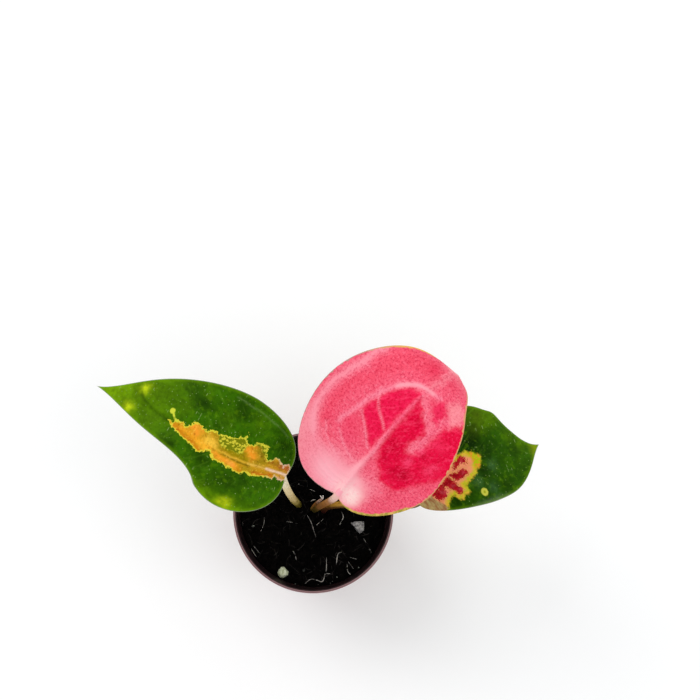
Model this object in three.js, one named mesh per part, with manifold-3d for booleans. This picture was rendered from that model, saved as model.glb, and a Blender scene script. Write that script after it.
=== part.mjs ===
// A young potted chinese evergreen: three leaves on their stalks, in a small round plastic pot of peat.
// Millimetres, +Z up. The origin is the middle of the pot's flat base, on the surface that it stands on.
// Seen from above, +X is to the right and +Y is to the back.

import * as THREE from "three";
import { mergeVertices } from "three/addons/utils/BufferGeometryUtils.js";
import Module from "manifold-3d";

const wasm = await Module();
wasm.setup();

// ---------------------------------------------------------------- driving dimensions, in mm and degrees

const GAP = 0.3; // between pieces that rest on or in each other

const POT = {
  height: 55,
  rimRadius: 30, // outside of the lip, at the top
  rimInside: 28.7,
  baseInside: 20.4,
  wall: 1,
  floor: 1.2,
  lipHeight: 6,
  lipTaper: 0.4, // how much smaller the lip is at its lower edge
  edgeRound: 0.5,
  segments: 60,
};

const DRAIN = { count: 6, radius: 2.3, circle: 14, sides: 20 };

const SOIL = {
  belowRim: 6.5, // of the surface at the pot's wall
  dome: 1, // how much higher its middle is
  // Lumps: each is a height and the waves along x and y, in radians per mm, whose product it is.
  lumps: [
    { height: 0.45, first: [0.55, 0.3, 1], second: [-0.2, 0.5, 0] },
    { height: 0.27, first: [1.1, -0.7, 0], second: [0, 0.9, 2] },
  ],
  rings: 9,
  segments: 48,
};

// The short stem in the soil, from which the stalks rise. It is widest at "shoulder".
const CROWN = {
  x: -0.7,
  y: 1.8,
  radius: 4.6,
  top: 41,
  shoulder: 36,
  bottom: 29,
  foot: 2.4,
  edge: 0.4,
  segments: 20,
};

// A stalk runs from the crown, out of the soil at "soil", and stops "short" of its leaf's base. "bend" is
// the handle of the curve at that end. "foot" and "neck" are its radii at the soil and at the leaf.
const STALKS = {
  left: {
    root: [-3.8, 1.8],
    soil: [-5.7, 3],
    bend: [-0.4, -2.8, -9],
    short: 1.4,
    foot: 1.4,
    neck: 1.1,
    color: 0xd8cf9a,
  },
  middle: {
    root: [-0.7, 0.4],
    soil: [0.5, 0.9],
    bend: [-1.4, -1.6, -2.1],
    short: 0.9,
    foot: 1.4,
    neck: 1.4,
    color: 0xd9a58a,
  },
  right: {
    root: [2.9, -0.8],
    soil: [4, 1.1],
    bend: [-4, -3, -4],
    short: 0.9,
    foot: 1.4,
    neck: 1.2,
    color: 0xb28c4a,
  },
};

const STALK = {
  sides: 12,
  steps: 18,
  crowding: 1.3, // above 1 puts more of the steps near the leaf, where the stalk bends
  endRadius: 0.35, // of the flat on its round end, as a share of the neck
};

// A leaf is drawn flat, then bent along its midrib, a cubic Bezier curve from its base to its tip.
// "port" and "starboard" are the halves to the left and right of the midrib, seen from above with the tip
// ahead. On each half, "lobe" is how far the base bulges back at lobeWidth from the midrib, "wide" is where
// the half is widest as a share of the length, "half" its width there, and the tip narrows over "taper" at
// taperWidth. "baseEase" and "tipEase" are how full the curves to both sides of the widest place are. A
// "waist" narrows the half by a share about a place along it, and one with a share below 0 widens it. roll,
// fold and droop bend the leaf: roll turns the blade about its midrib at the base, middle and tip, fold
// lifts both halves, droop lowers the margins.
const LEAVES = {
  left: {
    midrib: [
      [-9.9, 9.8, 92],
      [-38.1, 16.8, 105],
      [-52.3, 33.4, 101],
      [-77.1, 42.6, 83],
    ],
    roll: [9, 3, 0],
    fold: [10, 7],
    droop: 1.8,
    wave: { height: 1, count: 1.6, phase: 0.1 },
    port: {
      lobe: 2.6,
      lobeWidth: 14.6,
      wide: 0.34,
      half: 20.7,
      taper: 16.1,
      taperWidth: 3.1,
      baseEase: 0.34,
      tipEase: 0.07,
      waist: { share: 0.487, at: 0.649, spread: 0.224 },
    },
    starboard: {
      lobe: 5.2,
      lobeWidth: 14.7,
      wide: 0.29,
      half: 21.8,
      taper: 14.4,
      taperWidth: 1.2,
      baseEase: 0.46,
      tipEase: 0.41,
    },
    ribSide: -1,
    color: 0x3f7a22,
  },
  middle: {
    midrib: [
      [7.9, 2.6, 111],
      [23.3, 20.7, 135],
      [42, 44.6, 145],
      [47.9, 39.7, 117],
    ],
    roll: [-1.6, -2.2, -4.7],
    fold: [-6, -4],
    droop: 1.5,
    wave: { height: 0.5, count: 1.5, phase: 0.3 },
    port: {
      lobe: 14.3,
      lobeWidth: 23.1,
      wide: 0.34,
      half: 27.3,
      taper: 18.3,
      taperWidth: 7.9,
      baseEase: 0.33,
      tipEase: 0.55,
    },
    starboard: {
      lobe: 9.6,
      lobeWidth: 9,
      wide: 0.32,
      half: 23.3,
      taper: 4.3,
      taperWidth: 8.1,
      baseEase: 0.47,
      tipEase: 0.43,
    },
    ribSide: 1,
    color: 0xe0506e,
  },
  right: {
    midrib: [
      [37, 2, 83],
      [51.2, 16.3, 93],
      [59.6, 19.3, 91],
      [81.5, 23.2, 75],
    ],
    roll: [0, 0, 0],
    fold: [8, 5.6],
    droop: 1.5,
    wave: { height: 0.9, count: 2, phase: 0.4 },
    port: {
      lobe: 5,
      lobeWidth: 14,
      wide: 0.34,
      half: 20.6,
      taper: 15.6,
      taperWidth: 0.3,
      baseEase: 0.5,
      tipEase: 0.68,
      waist: { share: -0.106, at: 0.716, spread: 0.04 },
    },
    starboard: {
      lobe: 3.5,
      lobeWidth: 3.6,
      wide: 0.5,
      half: 16.4,
      taper: 9.5,
      taperWidth: 7.6,
      baseEase: 0.57,
      tipEase: 0.68,
    },
    ribSide: -1,
    color: 0x24541a,
  },
};

const BLADE = {
  thickness: 0.7,
  rib: 1.3, // how far the midrib stands out of the underside at the base
  ribAtTip: 0.1,
  ribWidth: 1.5,
  rows: 28, // from base to tip
  across: 8, // on each half
};

const PERLITE_RISE = 0.1; // of a grain's middle above the soil, as a share of its height

// Grains of perlite half sunk in the soil: place, size along x, y and z, and how sharp their corners are.
const PERLITE = {
  round: { at: [-11.4, -22.4], size: [4.2, 4.1, 3.4], corners: 0.06, turn: 20, color: 0xc9d8b8 },
  angular: { at: [16.8, -5.4], size: [4.9, 4.2, 3.2], corners: 0.2, turn: -25, color: 0xc4c2bd },
};

const FINISH = {
  pot: { color: 0x6b4038, roughness: 0.5 },
  soil: { color: 0x17120f, roughness: 1 },
  crown: { color: 0xb9a56b, roughness: 0.7 },
  stalkRoughness: 0.5,
  leafRoughness: 0.4,
  perliteRoughness: 0.9,
};

// ---------------------------------------------------------------- helpers

const radians = THREE.MathUtils.degToRad;
const lerp = THREE.MathUtils.lerp;
const clamp = THREE.MathUtils.clamp;

// A closed mesh from triangles of points, less those that have shrunk to a line.
function meshOfTriangles(triangles) {
  const positions = [];
  for (const [a, b, c] of triangles) {
    const shortest = Math.min(a.distanceTo(b), b.distanceTo(c), c.distanceTo(a));
    if (shortest > 1e-6) positions.push(...a, ...b, ...c);
  }
  const geometry = new THREE.BufferGeometry();
  geometry.setAttribute("position", new THREE.Float32BufferAttribute(positions, 3));
  return mergeVertices(geometry, 1e-5);
}

// Rings of equal length joined into one skin, open at both ends. "turned" says which of the ring's sides
// are split along the other diagonal.
function skinOfRings(rings, turned = () => false) {
  const triangles = [];
  const sides = rings[0].length;
  for (let i = 0; i + 1 < rings.length; i++) {
    for (let k = 0; k < sides; k++) {
      const next = (k + 1) % sides;
      const [a, b] = [rings[i][k], rings[i][next]];
      const [c, d] = [rings[i + 1][k], rings[i + 1][next]];
      if (turned(k)) triangles.push([a, b, c], [b, d, c]);
      else triangles.push([a, b, d], [a, d, c]);
    }
  }
  return triangles;
}

function capOfRing(ring, facingBack) {
  const middle = ring.reduce((sum, p) => sum.add(p), new THREE.Vector3()).divideScalar(ring.length);
  return ring.map((p, k) => {
    const next = ring[(k + 1) % ring.length];
    return facingBack ? [middle, next, p] : [middle, p, next];
  });
}

function solidOf(geometry) {
  const bare = geometry.clone();
  bare.deleteAttribute("normal");
  bare.deleteAttribute("uv");
  const merged = mergeVertices(bare, 1e-4);
  const vertProperties = merged.attributes.position.array;
  const triVerts = new Uint32Array(merged.index.array);
  return new wasm.Manifold(new wasm.Mesh({ numProp: 3, vertProperties, triVerts }));
}

function geometryOf(solid) {
  const { vertProperties, triVerts } = solid.getMesh();
  const geometry = new THREE.BufferGeometry();
  geometry.setAttribute("position", new THREE.BufferAttribute(vertProperties, 3));
  geometry.setIndex(new THREE.BufferAttribute(triVerts, 1));
  return geometry;
}

function latheUp(profile, segments) {
  const points = profile.map(([r, z]) => new THREE.Vector2(r, z));
  return new THREE.LatheGeometry(points, segments).rotateX(Math.PI / 2);
}

function named(name, geometry, { color, roughness }) {
  geometry.computeVertexNormals();
  const material = new THREE.MeshStandardMaterial({ color, roughness, metalness: 0 });
  const mesh = new THREE.Mesh(geometry, material);
  mesh.name = name;
  return mesh;
}

// ---------------------------------------------------------------- pot

const potInside = (z) =>
  lerp(POT.baseInside, POT.rimInside, (z - POT.floor) / (POT.height - POT.floor));

function potGeometry() {
  const { height, rimRadius, rimInside, wall, floor, lipHeight, lipTaper, edgeRound } = POT;
  const lipFoot = height - lipHeight;
  const outside = (z) => potInside(z) + wall;
  const profile = [
    [0, 0],
    [outside(0) - edgeRound, 0],
    [outside(edgeRound), edgeRound],
    [outside(lipFoot), lipFoot],
    [rimRadius - lipTaper - edgeRound / 2, lipFoot],
    [rimRadius - lipTaper, lipFoot + edgeRound / 2],
    [rimRadius, height - edgeRound],
    [rimRadius - edgeRound * 0.3, height - edgeRound * 0.3],
    [rimRadius - edgeRound, height],
    [rimInside + edgeRound * 0.6, height],
    [rimInside, height - edgeRound * 0.6],
    [potInside(floor + edgeRound), floor + edgeRound],
    [POT.baseInside - edgeRound, floor],
    [0, floor],
  ];
  let pot = solidOf(latheUp(profile, POT.segments));
  for (let i = 0; i < DRAIN.count; i++) {
    const angle = (2 * Math.PI * (i + 0.5)) / DRAIN.count;
    const hole = new THREE.CylinderGeometry(DRAIN.radius, DRAIN.radius, 4 * floor, DRAIN.sides)
      .rotateX(Math.PI / 2)
      .translate(DRAIN.circle * Math.cos(angle), DRAIN.circle * Math.sin(angle), 0);
    pot = pot.subtract(solidOf(hole));
  }
  return geometryOf(pot);
}

// ---------------------------------------------------------------- leaves

// One half's outline, drawn flat with the base at (0, 0) and the tip at (length, 0). t runs from 0 to 1.
function outlinePoint(half, length, t) {
  const widest = new THREE.Vector2(half.wide * length, half.half);
  const reach = widest.x + half.lobe / 2;
  const base = new THREE.CubicBezierCurve(
    new THREE.Vector2(0, 0),
    new THREE.Vector2(-half.lobe, half.lobeWidth),
    new THREE.Vector2(widest.x - half.baseEase * reach, half.half),
    widest,
  );
  const tip = new THREE.CubicBezierCurve(
    widest,
    new THREE.Vector2(widest.x + half.tipEase * (length - widest.x), half.half),
    new THREE.Vector2(length - half.taper, half.taperWidth),
    new THREE.Vector2(length, 0),
  );
  const point = t < 0.5 ? base.getPoint(2 * t) : tip.getPoint(2 * t - 1);
  if (half.waist) {
    const { share, at, spread } = half.waist;
    point.y *= 1 - share * Math.exp(-(((t - at) / spread) ** 2));
  }
  return point;
}

class Leaf {
  constructor(sizes) {
    Object.assign(this, sizes);
    this.curve = new THREE.CubicBezierCurve3(...sizes.midrib.map((p) => new THREE.Vector3(...p)));
    this.length = this.curve.getLength();
    const chord = new THREE.Vector3().subVectors(this.curve.v3, this.curve.v0);
    this.right = new THREE.Vector3(chord.y, -chord.x, 0).normalize();
  }

  // The blade's own axes at x mm along the midrib. Behind the base they run straight on.
  frame(x) {
    const share = clamp(x / this.length, 0, 1);
    const along = this.curve.getTangentAt(share);
    const at = this.curve.getPointAt(share).addScaledVector(along, Math.min(x, 0));
    const across = this.right.clone().addScaledVector(along, -this.right.dot(along)).normalize();
    const up = new THREE.Vector3().crossVectors(across, along);
    const [base, middle, tip] = this.roll;
    const weights = [(1 - share) * (1 - 2 * share), 4 * share * (1 - share), share * (2 * share - 1)];
    const roll = radians(base * weights[0] + middle * weights[1] + tip * weights[2]);
    across.applyAxisAngle(along, -roll);
    up.applyAxisAngle(along, -roll);
    return { at, along, across, up, share };
  }

  // A point of the blade, t from base to tip and s from -1 at the port margin to 1 at the starboard one.
  // "layer" is -1 on the lower face and 1 on the upper one.
  point(t, s, layer) {
    const half = s < 0 ? this.port : this.starboard;
    const out = Math.abs(s);
    const edge = outlinePoint(half, this.length, t);
    const x = lerp(this.length * t, edge.x, out);
    const y = edge.y * out;
    const { at, across, up, share } = this.frame(x);
    const fold = radians(lerp(this.fold[0], this.fold[1], share));
    const { height, count, phase } = this.wave;
    const ends = Math.sin(Math.PI * t);
    const wave = height * out ** 3 * ends * Math.sin(2 * Math.PI * (count * t + phase));
    const lift = y * Math.sin(fold) - this.droop * ends * out ** 2 + wave;
    let layerHeight = BLADE.thickness / 2;
    if (layer === this.ribSide) {
      layerHeight += lerp(BLADE.rib, BLADE.ribAtTip, Math.sqrt(t)) * Math.exp(-((y / BLADE.ribWidth) ** 2));
    }
    return at
      .addScaledVector(across, Math.sign(s) * y * Math.cos(fold))
      .addScaledVector(up, lift + layer * layerHeight);
  }

  geometry() {
    const { rows, across } = BLADE;
    const steps = Array.from({ length: 2 * across + 1 }, (_, k) => k / across - 1);
    const rings = [];
    for (let i = 0; i <= rows; i++) {
      const t = (1 - Math.cos((Math.PI * i) / rows)) / 2;
      const upper = steps.map((s) => this.point(t, s, 1));
      const lower = steps.map((s) => this.point(t, s, -1));
      rings.push([...upper, ...lower.reverse()]);
    }
    // Both faces are split along the same diagonals, so that they stay the same distance apart.
    return meshOfTriangles(skinOfRings(rings, (k) => k > steps.length - 1));
  }
}

const leaves = Object.fromEntries(Object.entries(LEAVES).map(([side, sizes]) => [side, new Leaf(sizes)]));

// ---------------------------------------------------------------- soil, crown and stalks

const soilLevel = POT.height - SOIL.belowRim;

function soilTop(x, y) {
  const share = Math.hypot(x, y) / potInside(soilLevel);
  const wave = ([alongX, alongY, phase]) => Math.sin(alongX * x + alongY * y + phase);
  const lumps = SOIL.lumps.map(({ height, first, second }) => height * wave(first) * wave(second));
  return soilLevel + SOIL.dome * (1 - share ** 2) + lumps.reduce((sum, lump) => sum + lump);
}

// The stalk's middle line: from the crown straight up through the soil, then in one bend to the leaf.
function stalkCurve(side) {
  const { root, soil, bend, short } = STALKS[side];
  const { at, along } = leaves[side].frame(0);
  const foot = new THREE.Vector3(...root, CROWN.top + GAP);
  const surface = new THREE.Vector3(...soil, soilTop(...soil));
  const end = at.clone().addScaledVector(along, -short);
  const before = end.clone().add(new THREE.Vector3(...bend));
  const rise = surface.clone().sub(foot).normalize();
  const path = new THREE.CurvePath();
  path.add(new THREE.LineCurve3(foot, surface));
  path.add(
    new THREE.CubicBezierCurve3(
      surface,
      surface.clone().addScaledVector(rise, surface.distanceTo(end) / 3),
      before,
      end,
    ),
  );
  return path;
}

function stalkGeometry(side, grow = 0) {
  const { foot, neck } = STALKS[side];
  const { sides, steps, crowding, endRadius } = STALK;
  const path = stalkCurve(side);
  const length = path.getLength();
  const rings = [];
  for (let i = 0; i <= steps; i++) {
    const share = 1 - (1 - i / steps) ** crowding;
    const along = path.getTangentAt(share);
    const across = new THREE.Vector3(0, 1, 0).cross(along).normalize();
    const other = new THREE.Vector3().crossVectors(along, across);
    const toEnd = (1 - share) * length;
    const round = Math.sqrt(clamp(toEnd / neck, endRadius ** 2, 1));
    const radius = lerp(foot, neck, Math.sqrt(share)) * round + grow;
    const middle = path.getPointAt(share);
    if (i === 0) middle.addScaledVector(along, -2 * grow);
    const ring = [];
    for (let k = 0; k < sides; k++) {
      const angle = (2 * Math.PI * k) / sides;
      const point = middle.clone();
      point.addScaledVector(across, radius * Math.cos(angle));
      point.addScaledVector(other, radius * Math.sin(angle));
      ring.push(point);
    }
    rings.push(ring);
  }
  return meshOfTriangles([
    ...skinOfRings(rings),
    ...capOfRing(rings[0], true),
    ...capOfRing(rings[steps], false),
  ]);
}

function crownGeometry(grow = 0) {
  const { x, y, radius, top, shoulder, bottom, foot, edge, segments } = CROWN;
  const profile = [
    [0, bottom - grow],
    [foot + grow, bottom - grow],
    [radius + grow, shoulder],
    [radius - edge + grow, top + grow],
    [0, top + grow],
  ];
  return latheUp(profile, segments).translate(x, y, 0);
}

// ---------------------------------------------------------------- perlite

function perliteGeometry({ at, size, corners, turn }, grow = 0) {
  const geometry = new THREE.IcosahedronGeometry(1, 2);
  const position = geometry.attributes.position;
  const p = new THREE.Vector3();
  for (let i = 0; i < position.count; i++) {
    p.fromBufferAttribute(position, i);
    const bump = Math.sin(3 * p.x + 1) * Math.sin(4 * p.y) + Math.sin(5 * p.z + 2 * p.x);
    p.multiplyScalar(1 + corners * bump);
    position.setXYZ(i, ...p);
  }
  return geometry
    .scale(...size.map((length) => length / 2 + grow))
    .rotateZ(radians(turn))
    .translate(...at, soilTop(...at) + PERLITE_RISE * size[2]);
}

// ---------------------------------------------------------------- soil

function soilGeometry() {
  const bottom = POT.floor + GAP;
  const edge = (z) => potInside(z) - GAP;
  const profile = [
    [0, bottom],
    [edge(bottom) - POT.edgeRound, bottom],
    [edge(bottom + POT.edgeRound), bottom + POT.edgeRound],
  ];
  for (let i = SOIL.rings; i >= 0; i--) {
    profile.push([(edge(soilLevel) * i) / SOIL.rings, soilLevel]);
  }
  const geometry = latheUp(profile, SOIL.segments);
  const position = geometry.attributes.position;
  for (let i = 0; i < position.count; i++) {
    const [x, y, z] = [position.getX(i), position.getY(i), position.getZ(i)];
    if (z > bottom + 2 * POT.edgeRound) position.setZ(i, soilTop(x, y));
  }
  let soil = solidOf(geometry).subtract(solidOf(crownGeometry(GAP)));
  for (const side of Object.keys(STALKS)) soil = soil.subtract(solidOf(stalkGeometry(side, GAP)));
  for (const grain of Object.values(PERLITE)) soil = soil.subtract(solidOf(perliteGeometry(grain, GAP)));
  return geometryOf(soil);
}

// ---------------------------------------------------------------- the plant in its pot

const plant = new THREE.Group();
plant.name = "potted_chinese_evergreen";
plant.add(named("pot", potGeometry(), FINISH.pot));
plant.add(named("soil", soilGeometry(), FINISH.soil));
plant.add(named("crown", crownGeometry(), FINISH.crown));
for (const [side, leaf] of Object.entries(leaves)) {
  const stalkFinish = { color: STALKS[side].color, roughness: FINISH.stalkRoughness };
  const leafFinish = { color: leaf.color, roughness: FINISH.leafRoughness };
  plant.add(named("petiole_" + side, stalkGeometry(side), stalkFinish));
  plant.add(named("leaf_" + side, leaf.geometry(), leafFinish));
}
for (const [kind, grain] of Object.entries(PERLITE)) {
  const finish = { color: grain.color, roughness: FINISH.perliteRoughness };
  plant.add(named("perlite_" + kind, perliteGeometry(grain), finish));
}

export default plant;
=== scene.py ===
"""Looks of the potted chinese evergreen: a young plant with three leaves in a 60 mm plastic pot.

Sizes and places are in millimetres, in the part's own frame, until MM turns them into Blender's metres.
Colours are given as they show on a screen, as 0xRRGGBB. "Flat" places on a leaf are mm along its midrib
from the stalk, and mm across it: the starboard half, to the right when looking from the stalk, is positive.
"""

import math

import bmesh
import bpy
import numpy as np
from mathutils import Matrix, Vector, noise


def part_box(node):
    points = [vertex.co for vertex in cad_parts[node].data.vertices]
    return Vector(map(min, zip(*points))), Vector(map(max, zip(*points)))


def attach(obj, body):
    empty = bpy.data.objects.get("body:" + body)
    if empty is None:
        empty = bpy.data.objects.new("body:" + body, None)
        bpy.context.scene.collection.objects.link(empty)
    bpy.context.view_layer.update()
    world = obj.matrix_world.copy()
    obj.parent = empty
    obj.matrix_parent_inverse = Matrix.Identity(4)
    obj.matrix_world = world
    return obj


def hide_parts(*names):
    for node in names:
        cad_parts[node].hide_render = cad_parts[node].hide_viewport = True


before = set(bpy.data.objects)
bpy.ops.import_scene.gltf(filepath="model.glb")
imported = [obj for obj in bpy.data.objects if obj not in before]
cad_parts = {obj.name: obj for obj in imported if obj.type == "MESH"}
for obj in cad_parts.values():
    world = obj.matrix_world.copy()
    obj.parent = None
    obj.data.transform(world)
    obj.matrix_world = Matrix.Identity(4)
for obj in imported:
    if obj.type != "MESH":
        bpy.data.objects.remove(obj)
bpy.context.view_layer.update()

noise.seed_set(11)  # noise_vector would else differ from run to run
MM = 0.001
TURN = 2 * math.pi

# ---------------------------------------------------------------- sizes that repeat the part's

POT_HEIGHT = 55
POT_RIM = 30
POT_RIM_INSIDE = 28.7
POT_BASE_INSIDE = 20.4
POT_WALL = 1
POT_FLOOR = 1.2
LIP_HEIGHT = 6
LIP_TAPER = 0.4
DRAIN_HOLES = 6
DRAIN_RADIUS = 2.3
DRAIN_CIRCLE = 14

SOIL_LEVEL = 48.5
SOIL_DOME = 1
# Each lump is a height times two waves. A wave is its radians per mm of x and of y, and where it starts.
SOIL_LUMPS = (
    (0.45, (0.55, 0.3, 1), (-0.2, 0.5, 0)),
    (0.27, (1.1, -0.7, 0), (0, 0.9, 2)),
)
CROWN_TOP = 41.3

# A stalk rises from "root" in the soil, leaves it at "soil" and comes to its leaf's base, less "short", on a
# curve whose last handle is "bend". Its radii are "foot" and "neck". Here the last handles, the ends and
# the radii differ a little from the part's, to meet blades that are thinner.
STALKS = {
    "left": dict(root=(-3.8, 1.8), soil=(-5.7, 3), bend=(0.9, -2.8, -9), short=-0.6, foot=1.4, neck=1.3),
    "middle": dict(root=(-0.7, 0.4), soil=(0.5, 0.9), bend=(-1.4, -1.6, -2.1), short=0.9, foot=1.1, neck=1.2),
    "right": dict(root=(2.9, -0.8), soil=(4, 1.1), bend=(-4, -3, -4), short=0.9, foot=1.4, neck=1.2),
}

# A leaf's midrib is a curve with four control points. Its halves are outlines of two curves, one from
# the stalk to the widest place and one on to the tip. Roll, fold and wave shape the blade around it. The
# blade is raised by "quilt" mm between its veins, and its midrib stands out on the face of "rib_side",
# which is 1 for the upper face.
NO_WAIST = (0, 0.5, 1)
LEAVES = {
    "left": dict(
        midrib=((-9.9, 9.8, 92), (-38.1, 16.8, 105), (-52.3, 33.4, 101), (-77.1, 42.6, 83)),
        roll=(9, 3, 0),
        fold=(10, 7),
        droop=1.8,
        wave=(1, 1.6, 0.1),
        quilt=0.07,
        port=dict(lobe=2.6, lobe_width=14.6, wide=0.34, half=20.7, taper=16.1, taper_width=3.1,
                  base_ease=0.34, tip_ease=0.07, waist=(0.487, 0.649, 0.224)),
        starboard=dict(lobe=5.2, lobe_width=14.7, wide=0.29, half=21.8, taper=14.4, taper_width=1.2,
                       base_ease=0.46, tip_ease=0.41, waist=NO_WAIST),
        rib_side=-1,
    ),
    "middle": dict(
        midrib=((7.9, 2.6, 111), (23.3, 20.7, 135), (42, 44.6, 145), (47.9, 39.7, 117)),
        roll=(-1.6, -2.2, -4.7),
        fold=(-6, -4),
        droop=1.5,
        wave=(0.5, 1.5, 0.3),
        quilt=0.06,
        port=dict(lobe=14.3, lobe_width=23.1, wide=0.34, half=27.3, taper=18.3, taper_width=7.9,
                  base_ease=0.33, tip_ease=0.55, waist=NO_WAIST),
        starboard=dict(lobe=9.6, lobe_width=9, wide=0.32, half=23.3, taper=4.3, taper_width=8.1,
                       base_ease=0.47, tip_ease=0.43, waist=NO_WAIST),
        rib_side=1,
    ),
    "right": dict(
        midrib=((37, 2, 83), (51.2, 16.3, 93), (59.6, 19.3, 91), (81.5, 23.2, 75)),
        roll=(0, 0, 0),
        fold=(8, 5.6),
        droop=1.5,
        wave=(0.9, 2, 0.4),
        quilt=0.05,
        port=dict(lobe=5, lobe_width=14, wide=0.34, half=20.6, taper=15.6, taper_width=0.3,
                  base_ease=0.5, tip_ease=0.68, waist=(-0.106, 0.716, 0.04)),
        starboard=dict(lobe=3.5, lobe_width=3.6, wide=0.5, half=16.4, taper=9.5, taper_width=7.6,
                       base_ease=0.57, tip_ease=0.68, waist=NO_WAIST),
        rib_side=-1,
    ),
}

# ---------------------------------------------------------------- small helpers


def unit(v):
    """The vectors along the last axis, one long."""
    return v / np.linalg.norm(v, axis=-1, keepdims=True)


def ease(value, low, high):
    """0 below low and 1 above high, with a smooth step between."""
    share = np.clip((value - low) / (high - low), 0, 1)
    return share * share * (3 - 2 * share)


def bell(distance, width):
    return np.exp(-((distance / width) ** 2))


def bezier(points, u):
    a, b, c, d = np.asarray(points, float)
    u = np.asarray(u, float)[..., None]
    return (1 - u) ** 3 * a + 3 * (1 - u) ** 2 * u * b + 3 * (1 - u) * u**2 * c + u**3 * d


def bezier_slope(points, u):
    a, b, c, d = np.asarray(points, float)
    u = np.asarray(u, float)[..., None]
    return 3 * ((1 - u) ** 2 * (b - a) + 2 * (1 - u) * u * (c - b) + u**2 * (d - c))


def travelled(line):
    """The distance from the start of a line of points to each of them."""
    return np.concatenate([[0], np.cumsum(np.linalg.norm(np.diff(line, axis=0), axis=1))])


def colour(code):
    """A colour of the screen in the linear values that a shader takes."""
    shown = np.array([code >> 16, code >> 8 & 255, code & 255]) / 255
    return np.where(shown <= 0.04045, shown / 12.92, ((shown + 0.055) / 1.055) ** 2.4)


def fractal(place, size, detail=3):
    """Noise between about -1 and 1 at a place in mm, with grains of that size."""
    return noise.fractal(Vector(place) / size, 1, 2, detail)


def soft_line(points, closed=False, steps=6):
    """A smooth curve through the points."""
    p = np.asarray(points, float)
    p = np.vstack([p[-1:], p, p[:2]]) if closed else np.vstack([2 * p[:1] - p[1:2], p, 2 * p[-1:] - p[-2:-1]])
    u = np.linspace(0, 1, steps, endpoint=False)[:, None]
    pieces = []
    for a, b, c, d in zip(p[:-3], p[1:-2], p[2:-1], p[3:]):
        curved = (2 * a - 5 * b + 4 * c - d) * u**2 + (3 * b - a - 3 * c + d) * u**3
        pieces.append(0.5 * (2 * b + (c - a) * u + curved))
    if not closed:
        pieces.append(p[-2:-1])
    return np.vstack(pieces)


def distance_to(places, line):
    """How far each flat place is from an open line."""
    line = np.asarray(line, float)
    nearest = np.full(len(places), np.inf)
    for a, b in zip(line[:-1], line[1:]):
        side = b - a
        share = np.clip((places - a) @ side / max(side @ side, 1e-12), 0, 1)
        nearest = np.minimum(nearest, np.linalg.norm(places - a - share[:, None] * side, axis=1))
    return nearest


def depth_in(places, outline):
    """How far each flat place is inside a closed outline. It is negative outside."""
    closed = np.vstack([outline, outline[:1]])
    inside = np.zeros(len(places), bool)
    x, y = places.T
    for (ax, ay), (bx, by) in zip(closed[:-1], closed[1:]):
        crosses = (ay > y) != (by > y)
        slope = (bx - ax) / (by - ay) if by != ay else 0
        inside ^= crosses & (x < ax + (y - ay) * slope)
    return np.where(inside, 1, -1) * distance_to(places, closed)


def pot_inside(z):
    """The radius of the pot's inside at a height."""
    return POT_BASE_INSIDE + (POT_RIM_INSIDE - POT_BASE_INSIDE) * (z - POT_FLOOR) / (POT_HEIGHT - POT_FLOOR)


def soil_top(x, y):
    """The height of the soil's top, without clods and grains."""
    level = SOIL_LEVEL + SOIL_DOME * (1 - (np.hypot(x, y) / pot_inside(SOIL_LEVEL)) ** 2)
    for height, (a, b, c), (d, e, f) in SOIL_LUMPS:
        level = level + height * np.sin(a * x + b * y + c) * np.sin(d * x + e * y + f)
    return level


# ---------------------------------------------------------------- meshes


def turned(profile, segments):
    """Rings of a profile, given as radii and heights, turned round the z axis."""
    radius, height = np.transpose(profile)[..., None]
    angle = np.arange(segments) * TURN / segments
    return np.stack([radius * np.cos(angle), radius * np.sin(angle), np.repeat(height, segments, 1)], -1)


def sweep(points, radius, sides, oval=0.0):
    """Rings round a line of points, a little longer one way than the other by the share oval."""
    along = unit(np.gradient(points, axis=0))
    across = unit(np.cross([0.0, 1.0, 0.0], along))
    other = np.cross(along, across)
    angle = np.arange(sides) * TURN / sides
    size = (radius[:, None] * (1 + oval * np.cos(2 * angle)))[..., None]
    around = np.cos(angle)[None, :, None] * across[:, None] + np.sin(angle)[None, :, None] * other[:, None]
    return points[:, None] + size * around


def loft(rings, first, last):
    """Points and faces of a closed skin over rings of equal length, with a fan to a point at each end."""
    rows, count = rings.shape[:2]
    points = np.vstack([rings.reshape(-1, 3), [first, last]])
    here = np.arange(rows * count).reshape(rows, count)
    beside = np.roll(here, -1, 1)
    quads = np.stack([here[:-1], beside[:-1], beside[1:], here[1:]], -1).reshape(-1, 4)
    start = [[rows * count, b, a] for a, b in zip(here[0], beside[0])]
    end = [[rows * count + 1, a, b] for a, b in zip(here[-1], beside[-1])]
    return points, quads.tolist() + start + end


def gather(parts):
    """Points and faces of several meshes as one."""
    points, faces, count = [], [], 0
    for more, skin in parts:
        points.append(more)
        faces += [[v + count for v in face] for face in skin]
        count += len(more)
    return np.vstack(points), faces


def add_object(name, points, faces, materials=(), closed=True):
    """An object in the scene, with its points in mm. The faces of a closed one are turned outward."""
    mesh = bpy.data.meshes.new(name)
    mesh.from_pydata((np.asarray(points) * MM).tolist(), [], faces)
    if closed:
        turner = bmesh.new()
        turner.from_mesh(mesh)
        bmesh.ops.recalc_face_normals(turner, faces=turner.faces)
        turner.to_mesh(mesh)
        turner.free()
    for material in materials:
        mesh.materials.append(material)
    made = bpy.data.objects.new(name, mesh)
    bpy.context.scene.collection.objects.link(made)
    return made


def make_piece(name, points, faces, materials, slot, nodes=()):
    """A smooth piece that goes with the plant, stands for the CAD nodes and has the given materials. The slot
    is not used.
    """
    piece = add_object(name, points, faces, materials)
    piece.data.polygons.foreach_set("use_smooth", [True] * len(piece.data.polygons))
    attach(piece, "root")
    if nodes:
        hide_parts(*nodes)
    return piece


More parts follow.
